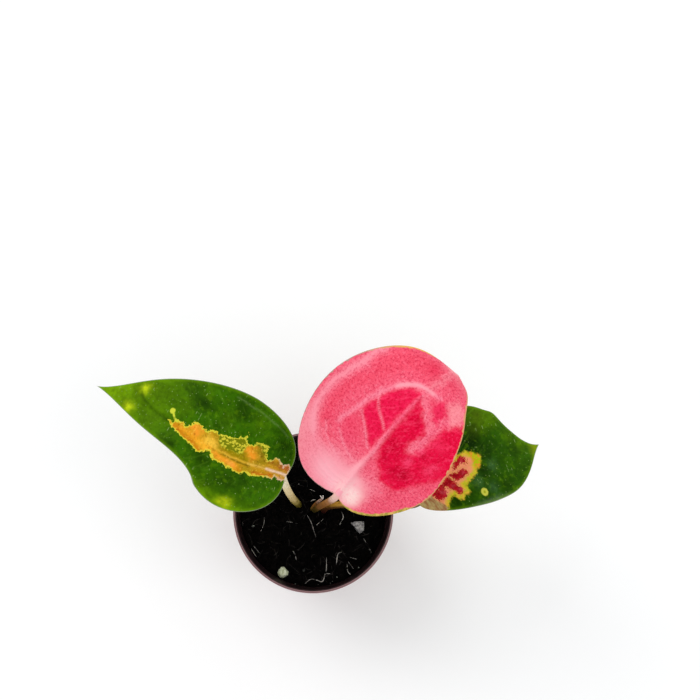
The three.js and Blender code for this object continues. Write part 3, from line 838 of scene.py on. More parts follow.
def middle_pink(places):
    places = ruffled(places, 4, 0.4)
    ragged = ruffled(ruffled(places, 2.4, 0.9), 1, 0.9)
    x, y = places.T
    beam = bell(distance_to(places, soft_line(PINK_BEAM)), 0.45 + 3.4 * ease(-x, -24, 2))
    return layered(places, 0xF55F78, [
        (0xF88A9A, 0.9 * ease(-x, -21, -8) * ease(-y, 0, 2)),
        (0xF8939F, 0.8 * ease(-y, 17, 23) * ease(-x, -26, -12)),
        (0xFBB0BB, 0.9 * spot(places, 4, -8, 6.5)),
        (0xF5566F, 0.75 * spot(places, 14.5, -14.5, 3)),
        (0xF4566F, 0.75 * spot(places, 23, -10.5, 4.5)),
        (0xF4526B, 0.85 * stroke(places, PINK_BAND, 2.2)),
        (0xF35069, 0.8 * patch(ragged, PINK_TOP, 2)),
        (0xF8707F, 0.8 * ease(x, 58, 66)),
        (0xF75F79, 0.8 * ease(y, 0, 2) * ease(-x, -24, -12)),
        (0xF98A9A, 0.7 * spot(places, 10, 6.5, 5)),
        *spots(places, PINK_SPOTS),
        (0xEC1249, 0.97 * patch(ragged, PINK_CRIMSON_PORT, 1.2)),
        (0xE6023C, 0.97 * patch(ragged, PINK_CRIMSON_STARBOARD, 1.4)),
        (0xEE2454, 0.9 * patch(ragged, PINK_CRIMSON_RIGHT, 1.4)),
        *spots(ragged, PINK_DEEP_SPOTS),
        (0xF9788D, 0.85 * stroke(ragged, PINK_STRIPS[0], 1)),
        (0xF77089, 0.7 * stroke(ragged, PINK_STRIPS[1], 1)),
        (0xF9929A, 0.85 * patch(ragged, PINK_LIGHT_RIGHT, 1.8)),
        (0xFA8CA0, 0.75 * stroke(places, PINK_ARCH, 0.9)),
        (0xFDA8B2, 0.75 * stroke(places, PINK_ARCH[6:-1], 0.75)),
        (0xFCA0AD, 0.7 * stroke(places, PINK_OUTER_ARC, 1.5)),
        (0xF98C98, 0.6 * stroke(ragged, PINK_TIP_STREAK, 1.4)),
        (0xFCA3A6, 0.85 * spot(ragged, 64.5, -1.2, 2.6)),
        *[(0xFC9AAA, 0.7 * stroke(places, line, 0.32)) for line in PINK_VEINS],
        (0xFB6484, 0.85 * bell(y + 0.1, 0.5) * ease(-x, -48, -45) * ease(x, 20, 26)),
        (0xFB8094, 0.9 * bell(y - 0.1, 0.8) * ease(-x, -36, -24) * ease(x, 15, 22)),
        (0xFDAEB8, 0.9 * beam * ease(-x, -26, -13)),
        *spots(places, PINK_BASE_SPOTS),
    ])


def middle_green(places):
    x, y = places.T
    return layered(places, DARK_GREEN, (
        (GREEN, 0.8 * ease(x, 30, 65)),
        (LIGHT_GREEN, 0.5 * ease(np.abs(y), 12, 24)),
    ))


def no_blush(places):
    return np.zeros(len(places))


# The middle leaf's green face: the ground of its crimson patches, and the patches.
FLAME_MIDDLE = (
    (-0.5, 2.5), (3, 5), (7, 7), (10, 6.5), (13, 9), (17, 8), (20, 10), (24, 8), (28, 8.5), (33, 5.5),
    (38, 5), (42, 2.5), (46, 1.5), (49, 0), (45, -1.5), (40, -3), (35, -3.5), (31, -6), (26, -6),
    (22, -8.5), (17, -7), (13, -8.5), (9, -6), (5, -5.5), (2, -4), (-0.5, -2.5),
)
PATCHES_MIDDLE = (
    ((4, 1), (9, 2), (14, 6), (10, 4.5), (6, 4)),
    ((13, 1), (18, 2), (22, 7), (17, 5.5)),
    ((22, 0.8), (28, 1.5), (31, 5), (26, 5)),
    ((33, 0.6), (39, 1), (40, 3), (36, 3)),
    ((4, -1), (9, -2), (13, -6), (8, -4.5)),
    ((13, -1), (18, -2), (22, -6.5), (16, -5)),
    ((23, -0.8), (28, -1.2), (29, -4.5), (25, -4)),
    ((32, -0.6), (38, -0.8), (37, -2.4), (34, -2.4)),
)

# The same on the right leaf, with a lime and a beige area in the ground.
BORDER_RIGHT = (
    (6.7, 9), (9.3, 7.1), (11.1, 6.7), (12.1, 6.8), (12.1, 7.6), (12.5, 8.6), (12.9, 9.5), (13.6, 9.9),
    (14.5, 9.3), (15.2, 8.7), (16.2, 9.2), (17.4, 8.9), (17.7, 8), (17.5, 6.9), (16.9, 6.1), (18.2, 6.3),
    (18.8, 6), (20.8, 5.4), (22.4, 4.9), (23.7, 4.4), (24.1, 3.1), (24, 2.7), (24.9, 3.2), (25.7, 2.8),
    (26.7, 1.6), (27.7, 0), (27.1, -1), (26.2, -1.2), (25.9, -2.2), (25.3, -2.9), (24.5, -2.6),
    (23.5, -3.9), (21.5, -4), (15.5, -4), (11, -8), (5, -8), (0, -5), (-1.5, 0.5), (0, 5), (2.5, 8.5),
)
PATCHES_RIGHT = (
    ((16.8, -0.9), (18.4, -2.5), (19.3, -2.7), (20.3, -3.4), (21.5, -3.4), (22.4, -1.3), (22.3, 0),
     (21, -0.5), (20.4, -1.1), (19.5, -0.9), (18.3, -0.4), (17.2, -0.4)),
    ((14.7, 0.3), (15.8, 0.2), (16.9, 0.6), (18, 0.9), (19.3, 0.9), (20.8, 1.7), (20.8, 3.1), (19.4, 3.4),
     (18.3, 3.8), (16.8, 3.6), (15.6, 2.8), (14.9, 1.6)),
    ((13.7, 0.2), (14.3, 1.2), (14.7, 2.9), (15.1, 4.4), (15.1, 5.5), (15.8, 7), (15, 7.9), (13.8, 8),
     (13.2, 6.9), (12.7, 5.4), (12.2, 4.3), (11.6, 3.1), (10.9, 2), (11, 1), (12.6, 0.3)),
    ((5.6, 1.4), (7.9, 1.3), (9.6, 1.1), (11.1, 1), (11.2, 2.3), (10.5, 3), (10.4, 4.2), (9.6, 5.4),
     (8.6, 5.5), (7.7, 5.2), (6.8, 5.6), (6, 4.5), (5.7, 3.4), (5.5, 2.3)),
    ((12, -1), (15.5, -1.4), (17, -4.5), (14, -6), (12, -4)),
    ((5, -1), (10.5, -1), (11, -4), (9, -6), (6, -4.5)),
)
RIGHT_LIME = (
    (23.4, -3.6), (26.3, -2.6), (27.7, -0.8), (27.3, 1), (26, 3.6), (24, 3), (23.8, 1.4), (24.4, 0),
    (23.9, -1.6),
)
RIGHT_BEIGE = (
    (5.1, 1.7), (5.5, 3.7), (6, 5.5), (6.7, 7), (7.1, 9), (5, 9), (2, 8), (-1, 4), (-1.5, 0.5), (1.5, 1),
    (3.3, 1.5),
)
# Where the crimson patches are rose: x, y and radius.
RIGHT_BLUSH = (
    (10.2, 4.2, 1.3), (19.2, 2.3, 0.7), (15.2, 6.4, 0.8), (9, 3.2, 0.6), (20.6, -1.2, 0.6), (13.4, 4, 0.5),
)
RING_SPOT = (22.6, 11.7)
# The right leaf's spots. The first two, the darkest, are painted shadow where the middle leaf lies over this
# leaf's port side.
RIGHT_SPOTS_AND_SHADOW = (
    (0x0E2602, 0.95, 26, -6.5, 4.5), (0x183A04, 0.6, 25.1, -3.1, 2.5),
    (DEEP_GREEN, 0.7, 30.9, -0.5, 2.5), (DEEP_GREEN, 0.8, 26.2, 5.2, 2.5),
    (DARK_GREEN, 0.6, 33.3, 12.1, 3), (DEEP_GREEN, 0.4, 42.7, 0.9, 3), (DEEP_GREEN, 0.6, 11, 9, 3),
    (0x4A5A0A, 0.6, 31.7, -14.2, 3), (0x42520A, 0.5, 29, -10.2, 2.5), (LIGHT_GREEN, 0.7, 36.2, -12.1, 3),
    (LIGHT_GREEN, 0.6, 40.8, -4.7, 2.5), (LIGHT_GREEN, 0.6, 45.6, -1, 2.5), (GREEN, 0.6, 37.6, 4.5, 3),
    (GREEN, 0.6, 42.8, 5.2, 2.5), (GREY_GREEN, 0.3, 30.5, 4.3, 2), (GREY_GREEN, 0.3, 22.3, 7.5, 2),
    (GREY_GREEN, 0.3, 27.1, 11.6, 2),
)


def right_green(places):
    places = ruffled(places, 1.5, 0.7)
    x, y = places.T
    return layered(places, 0x2B5604, [
        (LIGHT_GREEN, 0.7 * ease(-y - 0.35 * (x - 38), 7, 13) * ease(x, 22, 34)),
        (GREEN, 0.5 * ease(x, 40, 47)),
        # The spots, with painted shadow of the middle leaf.
        *spots(places, RIGHT_SPOTS_AND_SHADOW),
        (0x84960E, 0.9 * ease(x, 48, 53)),
        # Painted sheen: a grey-blue band along the starboard margin.
        (0x8C9A84, 0.5 * ease(y - 0.1 * (x - 20), 13, 16.5) * ease(x, 4, 12)),
    ])


def right_blush(places):
    """How far the crimson patches pale to rose."""
    places = ruffled(places, 0.9, 0.9)
    return np.max([spot(places, x, y, radius) for x, y, radius in RIGHT_BLUSH], axis=0)


def right_under(places):
    y = places[:, 1]
    return layered(places, 0x86A04E, (
        (0xCB8478, 0.8 * ease(depth_in(places, BORDER_RIGHT), -2, 1.5)),
        (0xB5C486, 0.6 * bell(y, 1.5)),
    ))


# ---------------------------------------------------------------- leaf materials

DUST = 0x8FA862
PALE_LIME = 0xDCD43C
# Dust is specks and, where the places are stretched, scratches: cell size, reach and strength.
SPECKS = (1.1, 0.13, 0.75)
SCRATCHES = (1.2, 0.1, 0.7)


def dusted(shader, picture):
    """Pale specks and short scratches on a leaf, more in some places than in others."""
    stretched = shader.mapped(shader.where, 0.9, (1, 0.2, 1))
    share = 0.0
    for where, (size, reach, strength) in ((shader.where, SPECKS), (stretched, SCRATCHES)):
        away = shader.shaken(shader.cells(size, where), 0.25, 0.6, 2)
        speck = shader.step(away, reach + 0.04, reach - 0.04)
        chosen = shader.step(shader.part(shader.cells(size, where, "Color"), "X"), 0, 0.7)
        share = shader.math("MAXIMUM", shader.times(speck, chosen, strength), share)
    return shader.mix(shader.times(share, shader.clouds(8, 0.3, 0.52)), picture, DUST)


def green_blade(shader):
    """The painted green with mottling, faint streaks along the side veins and a lighter margin."""
    picture = shader.vector("paint")
    picture = shader.tinted(shader.clouds(5, 0.38, 0.62, 4, 0.6), picture, 0.55, 0.55)
    picture = shader.tinted(shader.clouds(1.5, 0.42, 0.62, 3, 0.65), picture, 0.6, 0.5)
    picture = shader.mix(shader.clouds(2.2, 0.52, 0.68, 4, 0.6), picture, LIGHT_GREEN, 0.4)
    beside = shader.times(shader.value("vein"), 5.0)
    outward = shader.times(shader.math("ABSOLUTE", shader.part(shader.where, "Y")), 0.2)
    streak = shader.clouds(1, 0.56, 0.72, 2, where=shader.node("CombineXYZ", {0: beside, 1: outward}))
    picture = shader.mix(streak, picture, 0x5E8A1C, 0.2)
    from_edge = shader.value("from_edge")
    picture = shader.mix(shader.step(from_edge, 1.6, 0.2), picture, LIME, 0.3)
    return shader.mix(shader.step(from_edge, 0.3, 0.12), picture, 0x9AA08A, 0.7)


def jagged(shader, name, coarse, fine):
    """A field with its edge broken up by noise of two sizes, in mm."""
    return shader.shaken(shader.shaken(shader.value(name), coarse, 1.8, 2, 0.6), fine, 0.8, 2, 0.6)


def clumps(shader, size, low, high, a, b, where=None):
    """Colour a with soft clumps of colour b in it."""
    return shader.mix(shader.clouds(size, low, high, 4, 0.65, where), a, b)


def leaf_finish(shader, picture, low, high):
    """A blade with roughness from low to high and a fine relief of cells and small pits."""
    height = shader.math("ADD", shader.times(shader.cells(0.5), 0.5), shader.noise(1.4, 4))
    rough = shader.between(shader.noise(2.4), low, high)
    return shader.finish(picture, rough, shader.bump(height, LEAF_GRAIN))


def left_leaf_upper():
    shader = Shader("leaf left, upper face", LEAF_SHINE, flat=True)
    fire = shader.vector("fire")
    fire = shader.tinted(shader.clouds(1.3, 0.52, 0.68, 3, 0.65), fire, (0.6, 0.52, 0.35), 0.8)
    fire = shader.mix(shader.clouds(2.4, 0.5, 0.62, 4, 0.7), fire, 0x9A860C, 0.3)
    fire = shader.mix(shader.clouds(1, 0.54, 0.68, 3, 0.65), fire, 0xFFD050, 0.4)
    net = shader.step(shader.shaken(shader.cells(1.05), 1.6, 0.8), 0.34, 0.6)
    netted = shader.mix(net, 0xCCC236, 0x72780A)
    fire = shader.mix(shader.step(jagged(shader, "net", 1.6, 1.6), -0.5, 0.5), fire, netted)
    blaze = jagged(shader, "blaze", 1.6, 2)
    edging = shader.mix(shader.step(shader.part(shader.where, "X"), 1.5, 9), 0xEBC4A4, PALE_LIME)
    fire = shader.mix(shader.step(blaze, 0.68, 0.3), fire, edging, 0.85)
    picture = dusted(shader, green_blade(shader))
    picture = shader.mix(shader.step(blaze, -0.1, 0.16), picture, fire)
    tail = shader.shaken(shader.value("tail"), 0.9, 0.8, 2)
    picture = shader.mix(shader.step(tail, -0.25, 0.25), picture, 0xCBD23A)
    return leaf_finish(shader, picture, 0.36, 0.5)


def pale_under(name):
    shader = Shader(name, LEAF_SHINE, flat=True)
    picture = shader.tinted(shader.noise(3, 4), shader.vector("paint"), 0.7, 0.5)
    number = shader.value("vein")
    off = shader.math("ABSOLUTE", shader.math("SUBTRACT", number, shader.math("ROUND", number)))
    from_vein = shader.times(off, shader.value("vein_gap"))
    picture = shader.mix(shader.step(from_vein, 0.5, 0.1), picture, 0xC6CF9C, 0.3)
    return leaf_finish(shader, picture, 0.5, 0.65)


def pink_face():
    """The painted pinks, grainier where they are deep, and a narrow margin in other colours."""
    shader = Shader("leaf middle, pink face", LEAF_SHINE, flat=True)
    picture = shader.vector("paint")
    green_share = shader.part(picture, "Y")
    grainy = shader.step(green_share, 0.42, 0.12)
    coarse = shader.times(shader.clouds(2.4, 0.44, 0.66, 3, 0.7), grainy)
    picture = shader.tinted(coarse, picture, (0.84, 0.5, 0.6), 0.4)
    streaky = shader.mapped(shader.where, 0.66, (3, 1, 1), "TEXTURE")
    crimson = shader.step(green_share, 0.1, 0.02)
    streaks = shader.times(shader.clouds(1.6, 0.5, 0.66, 4, 0.7, streaky), crimson)
    picture = shader.mix(streaks, picture, 0xFF4A72, 0.45)
    dark = shader.times(shader.clouds(0.8, 0.48, 0.62, 2, 0.75), grainy)
    picture = shader.tinted(dark, picture, (0.74, 0.3, 0.46), 0.75)
    elsewhere = shader.node("Mapping", {"Vector": shader.where, "Location": (9, 4, 0)})
    lighter = shader.mix(shader.step(green_share, 0.02, 0.15), 0xFF3A68, 0xFF96A8)
    picture = shader.mix(shader.clouds(1, 0.52, 0.65, 2, 0.75, elsewhere), picture, lighter, 0.4)

    lip = shader.step(shader.value("lip"), -0.8, 0.8)
    top = shader.step(shader.part(shader.where, "X"), 40, 56)
    starboard = shader.step(shader.part(shader.where, "Y"), -1, 1)
    width = shader.math("MULTIPLY_ADD", top, 0.5, shader.math("MULTIPLY_ADD", lip, 0.8, 0.3))
    ragged = shader.shaken(shader.value("from_edge"), 1.8, 1.8, 3, 0.6)
    margin = shader.step(shader.math("DIVIDE", ragged, width), 1.2, 0.6)
    plain = shader.mix(starboard, shader.mix(top, 0xB98F86, 0xE6B45C), shader.mix(top, 0xD9A070, 0xD99A6C))
    edging = shader.mix(lip, plain, clumps(shader, 1.5, 0.4, 0.6, 0xE3B963, 0xA39A3C))
    return leaf_finish(shader, shader.mix(margin, picture, edging), 0.42, 0.56)


def crimson_leaf(name, patch_colour):
    """A green blade with crimson patches in a salmon ground, which has a scalloped golden border."""
    shader = Shader(name, LEAF_SHINE, flat=True)
    border = jagged(shader, "border", 1.2, 1.8)
    golden = clumps(shader, 1.4, 0.4, 0.6, 0xC6C626, 0xE8BC3A)
    salmon = clumps(shader, 1.4, 0.4, 0.65, 0xFF9C74, 0xF0A860)
    ground = shader.mix(shader.step(border, 0.6, 2.2), golden, salmon)
    lime = clumps(shader, 1.8, 0.44, 0.56, 0xB4C80C, 0xE69C2C)
    ground = shader.mix(shader.step(jagged(shader, "lime", 1, 1), -0.5, 0.6), ground, lime)
    streaky = shader.mapped(shader.where, -0.3, (1, 0.3, 1))
    beige = clumps(shader, 1.2, 0.4, 0.62, 0xBBA46A, 0xA06A44, streaky)
    ground = shader.mix(shader.step(jagged(shader, "beige", 1, 1), -0.4, 0.5), ground, beige)
    red = clumps(shader, 1.3, 0.42, 0.62, patch_colour, 0x9C0A16)
    red = shader.mix(shader.value("blush"), red, 0xD8525C, 0.6)
    red = shader.mix(shader.clouds(0.5, 0.54, 0.66, 3, 0.7), red, 0xD84450, 0.5)
    patches = shader.shaken(jagged(shader, "patches", 1, 2.2), 2.4, 0.4, 3, 0.7)
    ground = shader.mix(shader.step(patches, -0.25, 0.2), ground, red)
    picture = dusted(shader, green_blade(shader))
    return shader, shader.mix(shader.step(border, -0.7, 0.3), picture, ground)


def right_leaf_upper():
    shader, picture = crimson_leaf("leaf right, upper face", 0xBE1020)
    away = shader.node("VectorMath", {0: shader.where, 1: (*RING_SPOT, 0)}, "Value", operation="DISTANCE")
    ring = shader.shaken(away, 0.5, 0.8, 2)
    centre = shader.mix(shader.step(ring, 0.3, 0.7), 0xA9AE24, 0xD0D04C)
    return leaf_finish(shader, shader.mix(shader.step(ring, 1.7, 1.2), picture, centre), 0.34, 0.48)


def middle_leaf_under():
    return leaf_finish(*crimson_leaf("leaf middle, green face", 0xB41A30), 0.36, 0.5)


# ---------------------------------------------------------------- stalks

STALK_SIDES = 28
STALK_RINGS = 90
STALK_OVAL = 0.03
STALK_GAP = 0.2  # from a blade's middle layer down to a stalk that ends beneath it
FOOT_RINGS = 4
INTO_BLADE = 7.0  # mm that the stalk runs on along its blade as the midrib
INTO_BLADE_RINGS = 14
INTO_BLADE_TAPER = 0.62  # share of its radius that the stalk loses there
INTO_BLADE_STARTS = 0.4  # mm past the end of the stalk's curve, but not before the next size
INTO_BLADE_EARLIEST = -0.3  # mm along the blade
INTO_BLADE_SUNK = 0.1  # mm off the blade's middle layer beneath it, or off the face that it rises to
SKIN_RADIUS = 1.5  # of the cylinder on which the streaks of every stalk are laid
# Along the stalk from the soil to the leaf: share of the way, colour.
STALK_COLOURS = {
    "left": (
        (0, 0x322C0A), (0.06, 0x6A5C1C), (0.16, 0xB09A52), (0.32, 0xDAC084), (0.55, 0xF2DAA6),
        (0.85, 0xFCEECC),
    ),
    "middle": (
        (0, 0x3A300C), (0.15, 0x54400F), (0.25, 0x7E5026), (0.5, 0x865218), (0.66, 0x9E6630),
        (0.92, 0xE2B8A8), (1.2, 0xFBA8B4),
    ),
    "right": ((0, 0x3C1E0A), (0.1, 0x7A4C18), (0.25, 0xBE8C34), (0.9, 0xC8A258)),
}


def stalk_path(side, leaf):
    """Points of the stalk's middle line from the soil to its blade and on under it, the share of the way
    at each, and the radius there."""
    sizes = STALKS[side]
    neck, foot_radius = sizes["neck"], sizes["foot"]
    foot = np.array([*sizes["root"], CROWN_TOP])
    surface = np.array([*sizes["soil"], soil_top(*sizes["soil"])])
    beneath = leaf.sizes["rib_side"] < 0
    at, along, _, up, _ = leaf.frame(np.array(0.0))
    end = at - sizes["short"] * along - (neck + STALK_GAP if beneath else 0) * up
    handle = surface + unit(surface - foot) * np.linalg.norm(surface - end) / 3
    way = np.linspace(0, 1, STALK_RINGS)
    curve = bezier((surface, handle, end + np.array(sizes["bend"]), end), way)

    start = max(INTO_BLADE_EARLIEST, INTO_BLADE_STARTS - sizes["short"])
    x = np.linspace(start, INTO_BLADE, INTO_BLADE_RINGS)
    at, _, _, up, _ = leaf.frame(x)
    into = x / INTO_BLADE
    rounded_end = np.sqrt(np.clip((1.02 - into) / 0.1, 0.02, 1))
    radius_in = neck * (1 - INTO_BLADE_TAPER * ease(into, 0, 1)) * rounded_end
    sink = -radius_in - INTO_BLADE_SUNK if beneath else ease(x, 0, 3) * (THICKNESS / 2 - INTO_BLADE_SUNK)

    lead = np.linspace(0, 1, FOOT_RINGS + 1)[:-1, None]
    points = np.vstack([foot * (1 - lead) + surface * lead, curve, at + up * sink[:, None]])
    share = np.concatenate([np.zeros(FOOT_RINGS), way, 1 + np.maximum(into, 0)])
    radius_up = foot_radius + (neck - foot_radius) * np.sqrt(way)
    return points, share, np.concatenate([np.full(FOOT_RINGS, foot_radius), radius_up, radius_in])


def stalk_material(side):
    shader = Shader("stalk " + side, 0.15)
    share = shader.shaken(shader.value("share"), 0.2, 2.4)
    bands = STALK_COLOURS[side]
    picture = bands[0][1]
    for (low, _), (high, code) in zip(bands, bands[1:]):
        picture = shader.mix(shader.step(share, low, high), picture, code)
    skin = shader.vector("skin")
    streaks = shader.noise(0.7, 3, 0.6, shader.mapped(skin, 0, (1, 0.12, 1)))
    free = shader.step(share, 1, 0.85)
    picture = shader.tinted(shader.times(shader.step(streaks, 0.45, 0.7), free), picture, 0.68, 0.5)
    blotches = shader.times(shader.clouds(2, 0.55, 0.7, 4, 0.6), free)
    picture = shader.mix(blotches, picture, 0x6C5418, 0.35)
    # Painted shade: one side of the right stalk, toward the front, is painted dark maroon.
    if side == "right":
        below = shader.step(shader.part(skin, "Z"), -0.2, -1.2)
        picture = shader.mix(below, picture, 0x2E0B0C, 0.8)
    scars = shader.times(shader.step(shader.cells(3.4), 0.12, 0.06), shader.step(share, 0.9, 0.8))
    picture = shader.tinted(scars, picture, 0.35)
    return shader.finish(picture, shader.between(streaks, 0.4, 0.6), shader.bump(streaks, 0.05))


def build_stalk(side, leaf):
    name = "petiole_" + side
    line, share, radius = stalk_path(side, leaf)
    points, faces = loft(sweep(line, radius, STALK_SIDES, STALK_OVAL), line[0], line[-1])
    piece = make_piece(name, points, faces, [stalk_material(side)], "stalk_" + side, [name])
    store(piece, "share", np.concatenate([np.repeat(share, STALK_SIDES), share[[0, -1]]]))
    height = travelled(line)
    rings = turned([(SKIN_RADIUS, h) for h in height], STALK_SIDES)[..., [0, 2, 1]]
    store(piece, "skin", np.vstack([rings.reshape(-1, 3), [[0, 0, 0], [0, height[-1], 0]]]))


# Dry leaf sheaths round the foot of the middle stalk: places, and the radius at the first and the last.
SHEATHS = (
    (((-0.4, 1, 48), (0, 1.6, 51), (1, 2.8, 55), (2.3, 3.8, 59), (3.3, 4.2, 62)), 1.15, 0.5),
    (((3.3, 4.2, 61.6), (2.9, 4.8, 63), (2.4, 5.4, 63.6)), 0.3, 0.2),
    (((3.3, 4.2, 61.6), (3.5, 4.8, 63), (3.5, 5.5, 64)), 0.3, 0.2),
)
SHEATH_SIDES = 20
SHEATH_FLATNESS = (1, 0.75, 1)  # along x, y and z
# Up from the lowest colour: the heights between which the next colour comes in, and that colour.
SHEATH_GROUND = 0x5A4616
SHEATH_BANDS = ((50, 55, 0x96602C), (56, 60, 0xC09A88), (61.8, 63, 0xE8E0D8))


def sheath_material():
    shader = Shader("leaf sheath", 0.1)
    height = shader.shaken(shader.part(shader.where, "Z"), 3, 1.5)
    picture = SHEATH_GROUND
    for low, high, code in SHEATH_BANDS:
        picture = shader.mix(shader.step(height, low, high), picture, code)
    streaks = shader.noise(0.6, 3, 0.6, shader.mapped(shader.where, 0, (1, 1, 0.2)))
    picture = shader.tinted(shader.step(streaks, 0.45, 0.7), picture, 0.55)
    return shader.finish(picture, 0.7, shader.bump(streaks, 0.08))


def build_sheaths():
    parts = []
    for places, first, last in SHEATHS:
        line = soft_line(places, steps=8)
        share = np.linspace(0, 1, len(line))
        radius = (first + (last - first) * share) * np.sqrt(np.clip(1.02 - share**6, 0.02, 1))
        rings = sweep(line, radius, SHEATH_SIDES)
        rings = line[:, None] + (rings - line[:, None]) * SHEATH_FLATNESS
        parts.append(loft(rings, line[0], line[-1]))
    make_piece("sheaths", *gather(parts), [sheath_material()], "stem")


# ---------------------------------------------------------------- pot

POT_SEGMENTS = 200
FLOOR_EDGE = 0.6  # radius of the round edge between the underside and the wall
BELOW_LIP = 0.25  # radius of the corner between the wall and the lip
LIP_EDGE = 0.4  # radius of the lip's lower edge
DRAIN_SIDES = 40
DRILL_FROM = -2  # height where the drill starts
DRILL_TO = 3
# Fine lines of painted shade round the lip's top, between its painted highlights: radius, half width and
# colour.
LIP_SHADE_LINES = ((29.62, 0.15, 0x54303A), (28.95, 0.4, 0x2A1014))


def arc(centre, radius, first, last, steps=6):
    """Points of an arc in the pot's profile, angles in degrees."""
    angle = np.radians(np.linspace(first, last, steps))
    return [(centre[0] + radius * math.cos(a), centre[1] + radius * math.sin(a)) for a in angle]


def pot_profile():
    """From the middle of the underside, up the outside, over the lip and down the inside."""
    lip_foot = POT_HEIGHT - LIP_HEIGHT
    roll = (POT_RIM - POT_RIM_INSIDE) / 2 - 0.02
    lip_at = (POT_RIM - roll, POT_HEIGHT - roll)
    wall = pot_inside(lip_foot) + POT_WALL
    lip_low = POT_RIM - LIP_TAPER
    edge_at = (pot_inside(FLOOR_EDGE) + POT_WALL - FLOOR_EDGE, FLOOR_EDGE)
    return (
        [(4, 0.5), (9, 0.5), (9.6, 0.15), (18.9, 0.15), (19.4, 0)]
        + arc(edge_at, FLOOR_EDGE, -90, -10)
        + [(pot_inside(z) + POT_WALL, z) for z in (4, 10, 18, 26, 34, 42, lip_foot - 0.9)]
        + arc((wall + BELOW_LIP, lip_foot - 0.55), BELOW_LIP, 180, 90, 4)
        + [(lip_low - 0.5, lip_foot - 0.28)]
        + arc((lip_low - LIP_EDGE, lip_foot + 0.12), LIP_EDGE, -80, 0, 5)
        + [(POT_RIM - 0.15, POT_HEIGHT - 2.6)]
        + arc(lip_at, roll, 0, 180, 9)
        + [(POT_RIM_INSIDE + 0.02, POT_HEIGHT - 1.5), (pot_inside(POT_HEIGHT - 3), POT_HEIGHT - 3)]
        + [(pot_inside(z), z) for z in (44, 30, 15, 4, POT_FLOOR + 1.2)]
        + arc((pot_inside(POT_FLOOR + 1) - 1, POT_FLOOR + 1), 1, 0, -90)
        + [(10, POT_FLOOR), (4, POT_FLOOR)]
    )


def pot_material():
    shader = Shader("pot plastic", 0.35)
    picture = shader.mix(shader.noise(14), 0x6B2A20, 0x7E382B)
    picture = shader.mix(shader.clouds(1.2, 0.62, 0.72, 5, 0.7), picture, 0xA06A5C, 0.3)
    # Painted shade: the inside of the pot's wall is painted near black.
    inward = shader.step(shader.value("inward"), 0.4, 0.6)
    picture = shader.mix(inward, picture, 0x1A0709)
    # Painted highlight: the top of the lip is painted lighter.
    on_top = shader.step(shader.part(shader.where, "Z"), POT_HEIGHT - 0.9, POT_HEIGHT - 0.4)
    picture = shader.mix(on_top, picture, 0x94706F)
    level = shader.node("VectorMath", {0: shader.where, 1: (1, 1, 0)}, operation="MULTIPLY")
    away = shader.node("VectorMath", {0: level}, "Value", operation="LENGTH")
    # Painted shade lines in the lip's painted highlight.
    for radius, wide, code in LIP_SHADE_LINES:
        line = shader.step(shader.math("ABSOLUTE", shader.math("SUBTRACT", away, radius)), wide, 0.4 * wide)
        picture = shader.mix(shader.times(line, on_top), picture, code)
    soiled = shader.times(shader.clouds(2.2, 0.5, 0.6, 4, 0.65), inward)
    picture = shader.mix(soiled, picture, 0x0B0706, 0.8)
    rough = shader.between(shader.noise(5), 0.38, 0.55)
    return shader.finish(picture, rough, shader.bump(shader.noise(0.5, 3, 0.6), 0.03))


def build_pot():
    profile = pot_profile()
    points, faces = loft(turned(profile, POT_SEGMENTS), (0, 0, profile[0][1]), (0, 0, profile[-1][1]))
    piece = make_piece("pot", points, faces, [pot_material()], "pot_plastic", ["pot"])
    x, y, z = points.T
    inward = (np.hypot(x, y) < pot_inside(z) + POT_WALL / 2) & (z > POT_FLOOR - 0.1)
    store(piece, "inward", inward.astype(float))
    bore_drains(piece)


def bore_drains(piece):
    """Cuts the drain holes through the pot's floor."""
    rods = []
    for i in range(DRAIN_HOLES):
        angle = TURN * (i + 0.5) / DRAIN_HOLES
        middle = np.array([DRAIN_CIRCLE * math.cos(angle), DRAIN_CIRCLE * math.sin(angle), 0])
        rings = turned([(DRAIN_RADIUS, DRILL_FROM), (DRAIN_RADIUS, DRILL_TO)], DRAIN_SIDES) + middle
        rods.append(loft(rings, middle + (0, 0, DRILL_FROM), middle + (0, 0, DRILL_TO)))
    drill = add_object("drains", *gather(rods))
    cut = piece.modifiers.new("drains", "BOOLEAN")
    cut.operation = "DIFFERENCE"
    cut.solver = "EXACT"
    cut.object = drill
    bpy.context.view_layer.update()
    bored = piece.evaluated_get(bpy.context.evaluated_depsgraph_get())
    solid = bpy.data.meshes.new_from_object(bored)
    piece.modifiers.clear()
    piece.data = solid
    bpy.data.objects.remove(drill)


# ---------------------------------------------------------------- soil

SOIL_RINGS = 120
SOIL_SEGMENTS = 380
SOIL_GAP = 0.06  # between the peat and the pot
SOIL_BOTTOM = 1.6
SOIL_EDGE = 0.96  # share of the radius where the peat starts to fall toward the pot
SOIL_EDGE_DROP = 0.5
SOIL_WALL = (46, 30, 12, 3)  # heights of the rings down the pot
CLODS = (0.55, 4.5)  # height and size
GRAINS = (0.3, 1.3)
CRUMBS = 900
CRUMB_REACH = 27  # from the middle of the pot
CRUMB_SIZES = (0.22, 0.24, 1.3)  # radii: the least, the mean of what is added to it, and the most
CRUMB_SHAPE = (1, 0.8, 0.6)
CRUMB_SET = 0.25  # of its least radius that a crumb is raised
FIBRES = 200
FIBRE_REACH = 26
FIBRE_LIMIT = 27.2  # no fibre lies further out
FIBRE_LENGTHS = (1.5, 6)
FIBRE_RADII = (0.05, 0.13)
FIBRE_BEND = 0.7  # radians from end to end, as a standard deviation
FIBRE_LIFT = (0.12, 0.25)  # over the peat: the least, and what is added at random
ROOTLET_LIMIT = 27
ROOTLET_LIFT = 0.25


